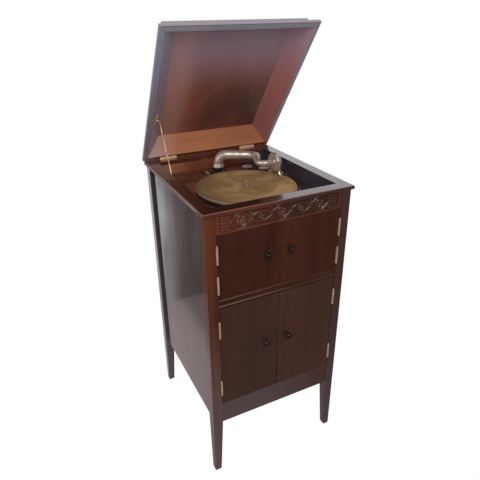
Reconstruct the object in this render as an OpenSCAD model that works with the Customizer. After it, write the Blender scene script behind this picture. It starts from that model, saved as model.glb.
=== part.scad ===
// Floor-standing cabinet gramophone with a coffered lid, shown open on its stay.
// Millimetres. The origin is on the floor under the middle of the cabinet,
// with +Z up, the doors facing -Y and the winding crank on +X.

/* [Cabinet] */
// Width over the corner posts
cab_w = 440; // [420:1:460]
// Depth over the corner posts
cab_d = 485; // [470:1:500]
// Height from the floor to the top of the rim
cab_h = 900; // [880:1:920]
// Side of a square corner post
post_w = 31; // [28:1:34]
// Height of the case above the floor
leg_h = 203; // [190:1:215]
// Side of a leg at the floor
leg_foot = 20.5; // [18:0.5:24]
// How far a side panel lies behind the posts
panel_recess = 8; // [6:0.5:10]
// Thickness of the moulded rim
rim_t = 11; // [10:0.5:13]
// Overhang of the rim past the posts
rim_out = 6; // [4:0.5:8]

/* [Front] */
// Height of the top of the apron
apron_top = 276; // [270:1:282]
// Height of the underside of the middle rail
mid_low = 617; // [612:1:622]
// Height of the top of the middle rail
mid_top = 643; // [640:1:648]
// Height of the underside of the carved rail
frieze_low = 836; // [833:1:839]
// Thickness of a door
door_t = 19; // [17:1:21]
// Gap round a door
door_gap = 1.5; // [0.8:0.1:1.5]
// Gap between the two upper doors
upper_meet = 1.2; // [0.8:0.1:2]
// Gap between the two lower doors
lower_meet = 2.4; // [1:0.1:3]
// Length of a door hinge
hinge_len = 52; // [48:1:56]

/* [Lid] */
// Angle between the open lid and the rim
lid_open = 54.2; // [50:0.1:58]
// Depth of the coffer inside the lid
coffer_deep = 48; // [46:0.5:50]
// Height of the lid over the rim when closed
lid_thick = 57; // [56:0.5:60]
// Overhang of the lid past the rim at each side
lid_over = 3; // [0:0.5:4]

/* [Turntable] */
// Diameter of the turntable
table_d = 300; // [290:1:306]
// Distance of the spindle in front of the cabinet's middle
table_y = 34; // [30:1:38]
// Height of the felt's top
felt_top = 870.7; // [869:0.1:872]
// Radius of the record spindle
spindle_r = 3.6; // [3.5:0.05:3.65]

/* [Tonearm] */
// Height of the tonearm's axis
arm_z = 911.5; // [910:0.5:916]
// Direction of the tonearm, from +X towards the front
arm_yaw = 28; // [25:0.5:30]
// Distance from the pivot to the end of the straight tube
arm_reach = 97; // [94:0.5:100]
// Diameter of the soundbox
soundbox_d = 59; // [56:0.5:60]

/* [Hidden] */
$fn = 48;

// Colours as the photograph shows them
c_wood = [0.27, 0.10, 0.06];
c_wood_warm = [0.42, 0.18, 0.09];
c_brass = [0.80, 0.66, 0.38];
c_nickel = [0.72, 0.69, 0.64];
c_black = [0.07, 0.07, 0.07];
c_steel = [0.50, 0.50, 0.50];

// Cabinet
hw = cab_w / 2;
hd = cab_d / 2;
well_x = hw - post_w;
well_y = hd - post_w;
rim_low = cab_h - rim_t;
panel_out = hw - panel_recess;
panel_t = 12;
panel_in = panel_out - panel_t;
front_set = 1.2;
door_face = -hd + front_set;
rail_t = 27;
back_y = hd - 6;
back_t = 8;
lining_rear_t = back_y - back_t - well_y;

// Motor board and what stands on it
board_top = 858;
board_t = 12;
table_r = table_d / 2;
felt_t = 1.2;
arm_x = 0;
arm_y = 168;

module ring(r_out, r_in, h) {
    difference() {
        cylinder(r = r_out, h = h);
        translate([0, 0, -1]) cylinder(r = r_in, h = h + 2);
    }
}

// A box from corner a to corner b
module box(a, b) {
    translate(a) cube(b - a);
}

// A quarter or other part of a bent tube in the plane of X and Y,
// starting at the origin along +X and turning to the left
module bend(r_bend, r_tube, angle) {
    translate([0, r_bend, 0]) rotate([0, 0, -90])
        rotate_extrude(angle = angle, $fn = 96) translate([r_bend, 0]) circle(r = r_tube, $fn = 32);
}

/* Posts */
// Plan outline of a post with its outer corner eased, the corner at the origin
module post_outline(size) {
    ease = 1.5;
    polygon([[ease, 0], [size, 0], [size, size], [0, size], [0, ease]]);
}

module corner_post() {
    taper = post_w - leg_foot;
    foot_ease = 2;
    translate([0, 0, leg_h]) linear_extrude(rim_low - leg_h) post_outline(post_w);
    intersection() {
        translate([0, 0, foot_ease]) linear_extrude(leg_h - foot_ease) post_outline(post_w);
        translate([0, post_w + 1, 0]) rotate([90, 0, 0]) linear_extrude(post_w + 2)
            polygon([[-1, -1], [leg_foot, -1], [post_w, leg_h], [post_w, leg_h + 1], [-1, leg_h + 1]]);
        translate([-1, 0, 0]) rotate([90, 0, 90]) linear_extrude(post_w + 2)
            polygon([[-1, -1], [leg_foot, -1], [post_w, leg_h], [post_w, leg_h + 1], [-1, leg_h + 1]]);
    }
    // the foot is eased all round where it meets the floor
    intersection() {
        translate([foot_ease / 2, foot_ease / 2, 0]) cube([leg_foot - foot_ease, leg_foot - foot_ease, foot_ease + 1]);
        cube([post_w, post_w, foot_ease + 0.5]);
    }
}

module at_corner(sx, sy) {
    translate([sx * hw, sy * hd, 0]) mirror([sx > 0 ? 1 : 0, 0, 0]) mirror([0, sy > 0 ? 1 : 0, 0]) children();
}

module front_posts() {
    color(c_wood_warm) for (s = [-1, 1]) difference() {
        at_corner(s, -1) corner_post();
        for (z = hinge_levels) hinge_seat(s, z);
    }
}

module rear_posts() {
    color(c_wood) for (s = [-1, 1]) at_corner(s, 1) corner_post();
}

/* Case */
module side_panel(s) {
    x0 = s > 0 ? panel_in : -panel_out;
    box([x0, -well_y, leg_h], [x0 + panel_t, well_y, rim_low]);
}
module side_panel_left() { color(c_wood) side_panel(-1); }
module side_panel_right() {
    color(c_wood) difference() {
        side_panel(1);
        translate([panel_in - 1, crank_y, crank_z]) rotate([0, 90, 0]) cylinder(r = bush_r, h = panel_t + 2);
    }
}
module back_panel() {
    color(c_wood) box([-well_x, back_y - back_t, leg_h], [well_x, back_y, rim_low]);
}

// Points of a quarter round from angle a0, centre c, radius r
function arc(c, r, a0, a1, n) = [for (i = [0:n]) c + r * [cos(a0 + (a1 - a0) * i / n), sin(a0 + (a1 - a0) * i / n)]];

// Radius of the outer edges of rim and lid, and of the lid's edge at the hinges
edge_r = 3;
rear_edge_r = 1.7;
// Section of the rim, x inwards from the outer edge, y up from its underside
rim_w = rim_out + post_w;
rim_section = concat(
    [[rim_w, 0], [rim_w, rim_t - 1], [rim_w - 1, rim_t]],
    arc([edge_r, rim_t - edge_r], edge_r, 90, 180, 4),
    arc([edge_r, edge_r], edge_r, 180, 270, 4)
);

// One side of a mitred rectangle w by d with the given section of width sw
module mitred_side(w, d, sw, section) {
    intersection() {
        translate([-w / 2, -d / 2, 0]) rotate([90, 0, 90]) linear_extrude(w) polygon(section);
        translate([0, 0, -50]) linear_extrude(200)
            polygon([[-w / 2, -d / 2], [w / 2, -d / 2], [w / 2 - sw, -d / 2 + sw], [-w / 2 + sw, -d / 2 + sw]]);
    }
}
module mitred_frame(w, d, sw, section) {
    for (k = [0, 1]) rotate([0, 0, 180 * k]) {
        mitred_side(w, d, sw, section);
        rotate([0, 0, 90]) mitred_side(d, w, sw, section);
    }
}

module rim_moulding() {
    square_x = hw + rim_out - edge_r;
    square_y = hd + rim_out - edge_r;
    color(c_wood) translate([0, 0, rim_low]) difference() {
        union() {
            mitred_frame(cab_w + 2 * rim_out, cab_d + 2 * rim_out, rim_w, rim_section);
            box([-square_x, square_y, rim_t - edge_r], [square_x, square_y + edge_r, rim_t]);
        }
        for (s = [-1, 1]) translate([s * lid_hinge_x, hinge_axis_y, lid_hinge_z - rim_low]) lid_hinge_seat(-1);
    }
}

cleat = 10;
module well_lining() {
    color(c_wood_warm) {
        difference() {
            union() {
                box([-panel_in, -well_y, board_top - board_t], [-well_x, well_y, rim_low]);
                box([well_x, -well_y, board_top - board_t], [panel_in, well_y, rim_low]);
                box([-well_x, well_y, board_top - board_t], [well_x, well_y + lining_rear_t, rim_low]);
                for (s = [-1, 1]) {
                    x0 = s > 0 ? well_x - cleat : -panel_in;
                    box([x0, -well_y, board_top - board_t - cleat],
                        [x0 + cleat + panel_in - well_x, well_y, board_top - board_t]);
                }
            }
            track_pocket();
        }
    }
}

module apron_rail() {
    color(c_wood) box([-well_x, door_face, leg_h], [well_x, door_face + rail_t - 6, apron_top]);
}

// Middle rail with two beads run along its face
module mid_rail() {
    h = mid_top - mid_low;
    bead = 3.2;
    section = concat(
        [[rail_t, 0], [rail_t, h], [2, h]],
        arc([2, h - bead], bead, 90, 270, 8),
        [[3.4, h - 2 * bead - 1], [3.4, 2 * bead + 1]],
        arc([2, bead], bead, 90, 270, 8)
    );
    color(c_wood) translate([-well_x, door_face, mid_low]) rotate([90, 0, 90]) linear_extrude(2 * well_x)
        polygon(section);
}

inner_front = door_face + rail_t - 6;
inner_back = back_y - back_t;
module bottom_board() {
    color(c_wood) difference() {
        box([-panel_in, inner_front, apron_top - 14], [panel_in, inner_back, apron_top - 2]);
        post_notches(apron_top - 15, apron_top);
    }
}
module shelf_board() {
    color(c_wood) difference() {
        box([-panel_in, door_face + rail_t, mid_low + 5], [panel_in, inner_back, mouth_low]);
        post_notches(mid_low, mid_top);
    }
}
module post_notches(z0, z1) {
    room = 40;
    for (sx = [-1, 1], sy = [-1, 1])
        translate([sx * (well_x + room / 2), sy * (well_y + room / 2), (z0 + z1) / 2])
            cube([room, room, z1 - z0], center = true);
}

// Upright dividers of the record store
divider_n = 5;
module record_dividers() {
    pitch = 2 * panel_in / (divider_n + 1);
    z0 = apron_top - 2;
    z1 = mid_low + 5;
    color(c_wood_warm) for (i = [1:divider_n]) {
        x = -panel_in + i * pitch;
        difference() {
            box([x - 2.5, -150, z0], [x + 2.5, inner_back, z1]);
            translate([x - 3, -150, (z0 + z1) / 2]) rotate([0, 90, 0]) cylinder(r = 70, h = 6, $fn = 64);
        }
    }
}

/* Carved rail: a guilloche of two ribbons round five flower roundels */
frieze_mid = (frieze_low + rim_low) / 2;
carve_pitch = 59.5;
carve_end = 2.5 * carve_pitch;
field_deep = 3.5;
ribbon_w = 3.4;

// Height of a ribbon over the middle line at a distance x along the rail
function ribbon(x) = let (c = cos(180 * x / carve_pitch)) (18.2 + 3.4 * c) * c;

module ribbon_band(side) {
    n = 90;
    step = 2 * carve_end / n;
    mid = [for (i = [0:n]) let (x = -carve_end + i * step) [x, side * ribbon(x)]];
    slope = [for (p = mid) side * (ribbon(p[0] + 0.5) - ribbon(p[0] - 0.5))];
    across = [for (s = slope) ribbon_w / 2 * sqrt(1 + s * s)];
    polygon(concat(
        [for (i = [0:n]) mid[i] + [0, across[i]]],
        [for (i = [n:-1:0]) mid[i] - [0, across[i]]]
    ));
}

// A flower seen from the front: a boss, its petals and a rounded ring
module roundel(r, petals) {
    rotate_extrude() translate([r, 0.6]) circle(r = r * 0.13, $fn = 24);
    translate([0, 0, -0.9]) sphere(r = r * 0.27, $fn = 32);
    for (i = [0:petals - 1]) rotate([0, 0, 360 * (i + 0.5) / petals])
        translate([r * 0.56, 0, -r * 0.08]) sphere(r = r * 0.2, $fn = 24);
}

// A pointed leaf along +Y from the origin
module leaf(len, w) {
    r = (len * len / 4 + w * w / 4) / w;
    intersection() {
        translate([r - w / 2, len / 2]) circle(r = r, $fn = 96);
        translate([w / 2 - r, len / 2]) circle(r = r, $fn = 96);
    }
}

module tongues() {
    rows = 5;
    for (k = [0:rows - 1]) translate([0, (k - 2) * 8.2, 0]) {
        rotate([0, 90, 0]) cylinder(r = 3, h = 20, $fn = 24);
        sphere(r = 3, $fn = 24);
        translate([20, 0, 0]) sphere(r = 3, $fn = 24);
    }
}

module frieze_rail() {
    color(c_wood) {
        h = rim_low - frieze_low;
        difference() {
            box([-well_x, door_face, frieze_low], [well_x, -well_y, rim_low]);
            box([-well_x + 9, door_face - 1, frieze_low + 4], [well_x - 9, door_face + field_deep, rim_low - 3]);
        }
        translate([0, door_face + field_deep, frieze_mid]) rotate([90, 0, 0]) {
            translate([0, 0, -1]) linear_extrude(3.2) union() {
                ribbon_band(1);
                ribbon_band(-1);
            }
            for (k = [-2:2]) translate([k * carve_pitch, 0, 0])
                if (k % 2 == 0) roundel(15, 8);
                else roundel(9.5, 6);
            for (k = [-2:1], s = [-1, 1]) translate([(k + 0.5) * carve_pitch, 0, -1])
                rotate([0, 0, s > 0 ? 0 : 180]) translate([0, 5, 0]) linear_extrude(2.8) leaf(16, 6.5);
            for (s = [-1, 1]) mirror([s > 0 ? 0 : 1, 0, 0]) translate([carve_end + 2, 0, -0.6]) tongues();
        }
    }
}

module motor_board() {
    color(c_wood_warm) difference() {
        box([-well_x + 0.3, -well_y + 0.3, board_top - board_t], [well_x - 0.3, well_y - 0.3, board_top]);
        translate([0, -table_y, board_top - board_t - 1]) cylinder(r = 12, h = board_t + 2);
        translate([arm_x, arm_y, board_top - board_t - 1]) cylinder(r = throat_r + 0.5, h = board_t + 2);
    }
}

/* Horn: a folded wooden flare from the throat behind the motor to its mouth behind the upper doors */
throat_r = 17.5;
horn_wall = 5;
mouth_low = mid_top - 9;
mouth_top = 832;
horn_front = door_face + rail_t + 0.3;
horn_back = 205;
horn_roof = 722;
duct_in = arm_y - 26;
duct_top = 834;
module horn_side(g) {
    translate([-well_x - 5, 0, 0]) rotate([90, 0, 90]) linear_extrude(2 * well_x + 10) polygon([
        [horn_front - (g > 0 ? 1 : 0), mouth_low + g],
        [horn_back - 70, mouth_low + g],
        [horn_back - g, mouth_low + 60],
        [horn_back - g, duct_top - g],
        [duct_in + g, duct_top - g],
        [duct_in + g, horn_roof + 34],
        [duct_in - 40 + g / 2, horn_roof - g],
        [-118 - g / 3, horn_roof + 12 - g],
        [horn_front - (g > 0 ? 1 : 0), mouth_top - g]
    ]);
}
module horn_plan(g) {
    w_mouth = 182;
    w_throat = 42;
    translate([0, 0, mouth_low - 5]) linear_extrude(duct_top - mouth_low + 10) polygon([
        [-w_mouth + g, horn_front - 2], [w_mouth - g, horn_front - 2], [w_mouth - g, horn_front + 12],
        [w_throat - g, horn_back - 45], [w_throat - g, horn_back + 2],
        [-w_throat + g, horn_back + 2], [-w_throat + g, horn_back - 45], [-w_mouth + g, horn_front + 12]
    ]);
}
module horn() {
    color(c_wood_warm) difference() {
        intersection() {
            horn_side(0);
            horn_plan(0);
        }
        intersection() {
            horn_side(horn_wall);
            horn_plan(horn_wall);
        }
        translate([arm_x, arm_y, duct_top - horn_wall - 1]) cylinder(r = throat_r, h = horn_wall + 2);
    }
}
module horn_throat() {
    color(c_black) translate([arm_x, arm_y, duct_top - horn_wall]) {
        ring(throat_r, throat_r - 2, board_top - duct_top + horn_wall);
        translate([0, 0, horn_wall]) ring(throat_r + 7, throat_r - 1, 3);
    }
}

/* Door hinges */
leaf_t = 1.2;
leaf_deep = 17;
knuckle_r = 2.8;
pin_r = 1.2;
hinge_x = well_x;
hinge_y = -hd - 0.6;
hinge_levels = [312, 521, 664, 754];
part_gap = 0.4;

// Room cut in a post for the frame leaf and the knuckles, s is the side
module hinge_seat(s, z) {
    translate([s * hinge_x, hinge_y, z - 0.1]) cylinder(r = knuckle_r + 0.4, h = hinge_len + 2);
    x0 = s > 0 ? hinge_x : -hinge_x - leaf_t - 0.1;
    box([x0, hinge_y, z], [x0 + leaf_t + 0.1, hinge_y + leaf_deep + 1, z + hinge_len]);
}
module knuckle(z0, z1) {
    translate([0, 0, z0]) ring(knuckle_r, pin_r + 0.05, z1 - z0);
}
// The frame leaf with its two outer knuckles and the pin, for the left side
module frame_leaf() {
    third = hinge_len / 3;
    difference() {
        union() {
            box([-leaf_t, 0, 0], [0, leaf_deep, hinge_len]);
            cylinder(r = knuckle_r, h = hinge_len);
        }
        translate([0, 0, third - 0.15]) cylinder(r = knuckle_r + 0.4, h = third + 0.3);
    }
    cylinder(r = pin_r, h = hinge_len + 1.2);
    translate([0, 0, hinge_len]) cylinder(r = knuckle_r - 0.6, h = 1.6);
}
// The door leaf with the middle knuckle, for the left side
module door_leaf() {
    third = hinge_len / 3;
    difference() {
        union() {
            box([part_gap, 0, 0], [part_gap + leaf_t, leaf_deep, hinge_len]);
            translate([0, 0, third + 0.15]) cylinder(r = knuckle_r, h = third - 0.3);
        }
        translate([0, 0, -1]) cylinder(r = pin_r + 0.05, h = hinge_len + 2);
        for (z = [-1, 2 * third - 0.15]) translate([0, 0, z]) cylinder(r = knuckle_r + 0.4, h = third + 1.15);
    }
}
module cabinet_hinge_leaves() {
    color(c_brass) for (s = [-1, 1], z = hinge_levels)
        mirror([s > 0 ? 1 : 0, 0, 0]) translate([-hinge_x, hinge_y, z]) frame_leaf();
}
module door_hinges(s, levels) {
    color(c_brass) for (z = levels)
        mirror([s > 0 ? 1 : 0, 0, 0]) translate([-hinge_x, hinge_y, z]) door_leaf();
}
lower_levels = [hinge_levels[0], hinge_levels[1]];
upper_levels = [hinge_levels[2], hinge_levels[3]];
module upper_left_hinges() { door_hinges(-1, upper_levels); }
module upper_right_hinges() { door_hinges(1, upper_levels); }
module lower_left_hinges() { door_hinges(-1, lower_levels); }
module lower_right_hinges() { door_hinges(1, lower_levels); }

/* Doors */
meet_x = -2;
knob_left_x = -45;
knob_right_x = 29;
upper_knob_z = 749;
lower_knob_z = 460;
module door(s, z0, z1, levels, meet_gap, knob_x, knob_z) {
    x0 = s < 0 ? -well_x + door_gap : meet_x + meet_gap / 2;
    x1 = s < 0 ? meet_x - meet_gap / 2 : well_x - door_gap;
    color(c_wood) difference() {
        box([x0, door_face, z0 + door_gap], [x1, door_face + door_t, z1 - door_gap]);
        for (z = levels) mirror([s > 0 ? 1 : 0, 0, 0]) translate([-hinge_x, hinge_y, z]) {
            translate([0, 0, -0.1]) cylinder(r = knuckle_r + 0.4, h = hinge_len + 2);
            box([0, 0, 0], [part_gap + leaf_t, leaf_deep, hinge_len]);
        }
        translate([knob_x, door_face - 1, knob_z]) rotate([-90, 0, 0]) cylinder(r = 3.6, h = 13);
    }
}
module upper_left_door() { door(-1, mid_top, frieze_low, upper_levels, upper_meet, knob_left_x, upper_knob_z); }
module upper_right_door() { door(1, mid_top, frieze_low, upper_levels, upper_meet, knob_right_x, upper_knob_z); }
module lower_left_door() { door(-1, apron_top, mid_low, lower_levels, lower_meet, knob_left_x, lower_knob_z); }
module lower_right_door() { door(1, apron_top, mid_low, lower_levels, lower_meet, knob_right_x, lower_knob_z); }

// A turned knob with a spigot in the door
module knob(x, z) {
    profile = concat(
        [[0, -11], [3.5, -11], [3.5, 0], [8.5, 0], [8.5, 1.6], [5.2, 3.6], [4.2, 6], [5, 8.6]],
        arc([4, 14.2], 5.8, -60, 60, 8),
        [[3.2, 21], [0, 21.6]]
    );
    color([0.10, 0.05, 0.04]) translate([x, door_face, z]) rotate([90, 0, 0])
        rotate_extrude() polygon(profile);
}
module upper_left_knob() { knob(knob_left_x, upper_knob_z); }
module upper_right_knob() { knob(knob_right_x, upper_knob_z); }
module lower_left_knob() { knob(knob_left_x, lower_knob_z); }
module lower_right_knob() { knob(knob_right_x, lower_knob_z); }

/* Lid: modelled closed on the rim, then swung up about its rear edge */
lid_gap = 0.5;
hinge_axis_y = hd + rim_out - 1;
lid_hinge_z = cab_h + lid_gap / 2;
lid_hinge_x = 144;
lid_leaf_len = 56;
lid_hw = hw + rim_out + lid_over;
lid_hd = hd + rim_out;
lid_edge_t = 13;
lid_step = 18;
lid_step_z = 44;
rim_inset = 15;
slope_inset = 60;

module lid_pose() {
    translate([0, hinge_axis_y, lid_hinge_z]) rotate([-lid_open, 0, 0]) translate([0, -hinge_axis_y, -lid_hinge_z])
        children();
}

// Section of a lid side, x inwards from the outer edge, y up from the rim
lid_section = concat(
    [[rim_inset, 0], [slope_inset, coffer_deep], [slope_inset, lid_thick],
     [lid_step + 2, lid_step_z], [lid_step, lid_step_z - 2], [lid_step, lid_edge_t]],
    arc([edge_r, lid_edge_t - edge_r], edge_r, 90, 180, 4),
    arc([edge_r, edge_r], edge_r, 180, 270, 4)
);
// Fills the lid's lower rear edge to a smaller round, so that no light shows over the rim
rear_section = concat(
    [[edge_r, 0], [edge_r, edge_r], [0, edge_r]],
    arc([rear_edge_r, rear_edge_r], rear_edge_r, 180, 270, 4)
);
module lid_frame() {
    rear_w = 2 * (lid_hw - edge_r);
    color(c_wood) lid_pose() translate([0, 0, cab_h + lid_gap]) difference() {
        union() {
            mitred_frame(2 * lid_hw, 2 * lid_hd, slope_inset, lid_section);
            translate([rear_w / 2, lid_hd, 0]) rotate([90, 0, -90]) linear_extrude(rear_w) polygon(rear_section);
        }
        for (s = [-1, 1]) translate([s * lid_hinge_x, hinge_axis_y, lid_hinge_z - cab_h - lid_gap])
            lid_hinge_seat(1);
        translate([-stay_x - 9.5, stay_pivot_y, stay_pivot_n]) rotate([0, 90, 0]) cylinder(r = 3.8, h = 8);
    }
}
module lid_panel() {
    w = lid_hw - slope_inset;
    d = lid_hd - slope_inset;
    color(c_wood_warm) lid_pose() translate([0, 0, cab_h + lid_gap])
        box([-w, -d, coffer_deep], [w, d, lid_thick]);
}

/* Lid hinges: butts let into the rim and the lid, their knuckles behind */
lid_knuckle_r = 3.2;
lid_leaf_deep = 9.5;
lid_leaf_t = 1.6;
// Room for a leaf and its knuckles, up is 1 in the lid and -1 in the rim
module lid_hinge_seat(up) {
    translate([-lid_leaf_len / 2 - 0.2, 0, 0]) {
        translate([-0.9, 0, 0]) rotate([0, 90, 0]) cylinder(r = lid_knuckle_r + 0.5, h = lid_leaf_len + 2.2);
        z0 = up > 0 ? 0 : -lid_gap / 2 - lid_leaf_t;
        z1 = up > 0 ? lid_gap / 2 + lid_leaf_t : 0;
        box([0, -lid_leaf_deep - 0.2, z0], [lid_leaf_len + 0.4, 1, z1]);
    }
}
// One leaf about the hinge line, owning the knuckles whose places are listed
module lid_leaf(up, places, parts) {
    piece = lid_leaf_len / parts;
    z0 = up > 0 ? lid_gap / 2 : -lid_gap / 2 - lid_leaf_t;
    translate([-lid_leaf_len / 2, 0, 0]) difference() {
        union() {
            difference() {
                box([0, -lid_leaf_deep, z0], [lid_leaf_len, 0, z0 + lid_leaf_t]);
                rotate([0, 90, 0]) cylinder(r = lid_knuckle_r + 0.4, h = lid_leaf_len);
            }
            for (k = places) {
                translate([k * piece + 0.15, 0, 0]) rotate([0, 90, 0])
                    cylinder(r = lid_knuckle_r, h = piece - 0.3);
                box([k * piece + 0.15, -lid_knuckle_r - 2, z0], [(k + 1) * piece - 0.15, 0, z0 + lid_leaf_t]);
            }
        }
        translate([-1, 0, 0]) rotate([0, 90, 0]) cylinder(r = pin_r + 0.05, h = lid_leaf_len + 2);
        for (k = [0:2]) translate([(k + 0.5) * lid_leaf_len / 3, -lid_leaf_deep + 2.9, z0 - 1])
            cylinder(r = 1.2, h = lid_leaf_t + 2);
    }
}
module lid_hinge_frame_leaves() {
    color(c_brass) for (s = [-1, 1]) translate([s * lid_hinge_x, hinge_axis_y, lid_hinge_z]) {
        lid_leaf(-1, [0, 2, 4], 5);
        translate([-lid_leaf_len / 2 - 0.6, 0, 0]) rotate([0, 90, 0]) cylinder(r = pin_r, h = lid_leaf_len + 1.2);
        for (e = [-1, 1]) translate([e * (lid_leaf_len / 2 + 0.4), 0, 0]) rotate([0, 90, 0])
            cylinder(r = lid_knuckle_r - 0.8, h = 0.8, center = true);
        for (e = [-1, 1]) translate([e * (lid_leaf_len / 2), 0, 0]) rotate([0, 90, 0])
            cylinder(r = lid_knuckle_r - 0.8, h = 0.5, center = true);
    }
}
module lid_hinge_lid_leaves() {
    color(c_brass) lid_pose() for (s = [-1, 1]) translate([s * lid_hinge_x, hinge_axis_y, lid_hinge_z])
        lid_leaf(1, [1, 3], 5);
}

/* Lid stay: a rod from the coffer's side to a slotted track in the well's left wall */
stay_x = 186.6;
stay_len = 185;
stay_r = 2;
stay_eye = 2.3;
stay_pivot_u = 160;
stay_pivot_n = 18;
stay_pivot_y = hinge_axis_y - stay_pivot_u;
track_z = 878.5;
track_slot = 3;
track_half = 8;
stay_pin_r = 2.4;
// The stay's two pivots with the lid at rest
lean_y = hinge_axis_y - stay_pivot_u * cos(lid_open) + (stay_pivot_n + lid_gap / 2) * sin(lid_open);
lean_z = lid_hinge_z + stay_pivot_u * sin(lid_open) + (stay_pivot_n + lid_gap / 2) * cos(lid_open);
stay_tilt = asin((lean_z - track_z) / stay_len);
track_y1 = lean_y - stay_len * cos(stay_tilt) + track_slot;
track_y0 = track_y1 - 180;

module stay_bracket() {
    inset = rim_inset + (slope_inset - rim_inset) * stay_pivot_n / coffer_deep;
    slope = atan2(coffer_deep, slope_inset - rim_inset);
    plate = 1.6;
    color(c_brass) lid_pose() translate([0, stay_pivot_y, cab_h + lid_gap + stay_pivot_n]) {
        translate([-lid_hw + inset, 0, 0]) rotate([0, -slope, 0]) difference() {
            box([-10, -24, -plate], [9, 8, 0]);
            for (y = [-20, -11]) translate([0, y, -plate - 1]) cylinder(r = 1.6, h = plate + 2);
        }
        translate([-stay_x - 9, 0, 0]) rotate([0, 90, 0]) {
            cylinder(r = 3.4, h = 9 - stay_eye - 0.5);
            cylinder(r = 2, h = 9 + stay_eye + 1.4);
        }
        translate([-stay_x + stay_eye + 0.4, 0, 0]) rotate([0, 90, 0]) cylinder(r = 3.6, h = 1.2);
    }
}
module lid_stay() {
    color(c_brass) translate([-stay_x, lean_y, lean_z]) rotate([stay_tilt, 0, 0]) {
        difference() {
            union() {
                rotate([0, 90, 0]) cylinder(r = 4.4, h = 2 * stay_eye, center = true);
                rotate([90, 0, 0]) cylinder(r = stay_r, h = stay_len, $fn = 32);
            }
            rotate([0, 90, 0]) cylinder(r = 2 + run_fit, h = 10, center = true);
        }
        translate([0, -stay_len, 0]) {
            rotate([0, 90, 0]) cylinder(r = 4, h = 2 * stay_eye, center = true);
            rotate([0, -90, 0]) cylinder(r = stay_pin_r, h = 6);
        }
    }
}
pocket_deep = 5.2;
track_end = 11;
module track_pocket() {
    box([-well_x - pocket_deep, track_y0 - track_end, track_z - track_half],
        [-well_x + 1, track_y1 + track_end, track_z + track_half]);
}
module stay_track() {
    color(c_brass) difference() {
        box([-well_x - pocket_deep, track_y0 - track_end, track_z - track_half],
            [-well_x - 0.4, track_y1 + track_end, track_z + track_half]);
        box([-well_x - 4, track_y0, track_z - track_slot], [-well_x + 1, track_y1, track_z + track_slot]);
        for (y = [track_y0 - track_end / 2, track_y1 + track_end / 2]) translate([-well_x - 2, y, track_z]) rotate([0, 90, 0])
            cylinder(r1 = 1.4, r2 = 3.4, h = 2);
    }
}

/* Turntable */
module platter() {
    profile = [
        [spindle_r + 0.4, felt_top - felt_t], [spindle_r + 0.4, felt_top - 12], [12, felt_top - 12],
        [16, felt_top - 5.6], [table_r - 9, felt_top - 5.6], [table_r - 5, felt_top - 8.6],
        [table_r - 1, felt_top - 8.6], [table_r, felt_top - 7.4], [table_r, felt_top - 2.2],
        [table_r - 1.2, felt_top - 0.9], [table_r - 2.8, felt_top - 0.9], [table_r - 3.4, felt_top - felt_t]
    ];
    color(c_nickel) translate([0, -table_y, 0]) rotate_extrude($fn = 128) polygon(profile);
}
module platter_felt() {
    color([0.55, 0.44, 0.26]) translate([0, -table_y, felt_top - felt_t])
        ring(table_r - 3.6, 8, felt_t);
}
spindle_top = felt_top + 15;
barrel_x = -32.5;
barrel_y = -table_y + 32.5;
governor_x = 24.94;
governor_y = -table_y - 14.4;
plate_low = 738;

// Outline of a spur gear with straight flanks and a little backlash
module gear_outline(teeth, m) {
    r = teeth * m / 2;
    half = 360 / teeth / 4 - 0.07 * 360 / teeth;
    polygon([for (i = [0:teeth - 1]) let (a = 360 * i / teeth) for (p = [
        [r - 1.15 * m, -half * 1.75], [r + 0.85 * m, -half * 0.55],
        [r + 0.85 * m, half * 0.55], [r - 1.15 * m, half * 1.75]
    ]) p[0] * [cos(a + p[1]), sin(a + p[1])]]);
}
module gear(teeth, m, h, turn = 0) {
    rotate([0, 0, turn]) linear_extrude(h) gear_outline(teeth, m);
}

barrel_teeth = 80;
pinion_teeth = 12;
wheel_teeth = 60;
governor_teeth = 12;
wheel_m = 0.8;
plate_t = 4;
plate_high = board_top - board_t - plate_t;
great_z = 810;
wheel_z = 824;
barrel_low = 773.5;
barrel_high = 805.5;
crank_y = barrel_y;
crank_z = 762;
crank_r = 4.5;
run_fit = 0.05;
bush_r = 8.5;
module spindle() {
    collar_z = felt_top - 12;
    color(c_steel) translate([0, -table_y, 0]) {
        translate([0, 0, plate_low]) cylinder(r = 3, h = 8);
        translate([0, 0, plate_low + plate_t + 1]) cylinder(r = 4, h = collar_z - plate_low - plate_t - 1);
        translate([0, 0, collar_z - 4]) cylinder(r = 9, h = 4);
        translate([0, 0, collar_z - 1]) cylinder(r = spindle_r, h = spindle_top - collar_z - 1);
        translate([0, 0, spindle_top - 2]) cylinder(r1 = spindle_r, r2 = 1.6, h = 2);
        translate([0, 0, felt_top - felt_t]) cylinder(r = 6.4, h = 3, $fn = 6);
        translate([0, 0, great_z - 2]) gear(pinion_teeth, 1, 10);
        translate([0, 0, wheel_z]) gear(wheel_teeth, wheel_m, 5);
    }
}
module spring_barrel() {
    color(c_steel) translate([barrel_x, barrel_y, 0]) difference() {
        union() {
            translate([0, 0, barrel_low + 1]) cylinder(r = 37, h = barrel_high - barrel_low - 2);
            for (z = [barrel_low, barrel_high - 3]) translate([0, 0, z]) cylinder(r = 38.5, h = 3);
            translate([0, 0, barrel_high - 1]) cylinder(r = 12, h = 13);
            translate([0, 0, great_z]) gear(barrel_teeth, 1, 6);
        }
        translate([0, 0, barrel_low - 1]) cylinder(r = 5 + run_fit, h = 50);
        for (i = [0:4]) rotate([0, 0, 72 * i]) translate([25, 0, great_z - 1]) cylinder(r = 7, h = 8);
    }
}

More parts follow.
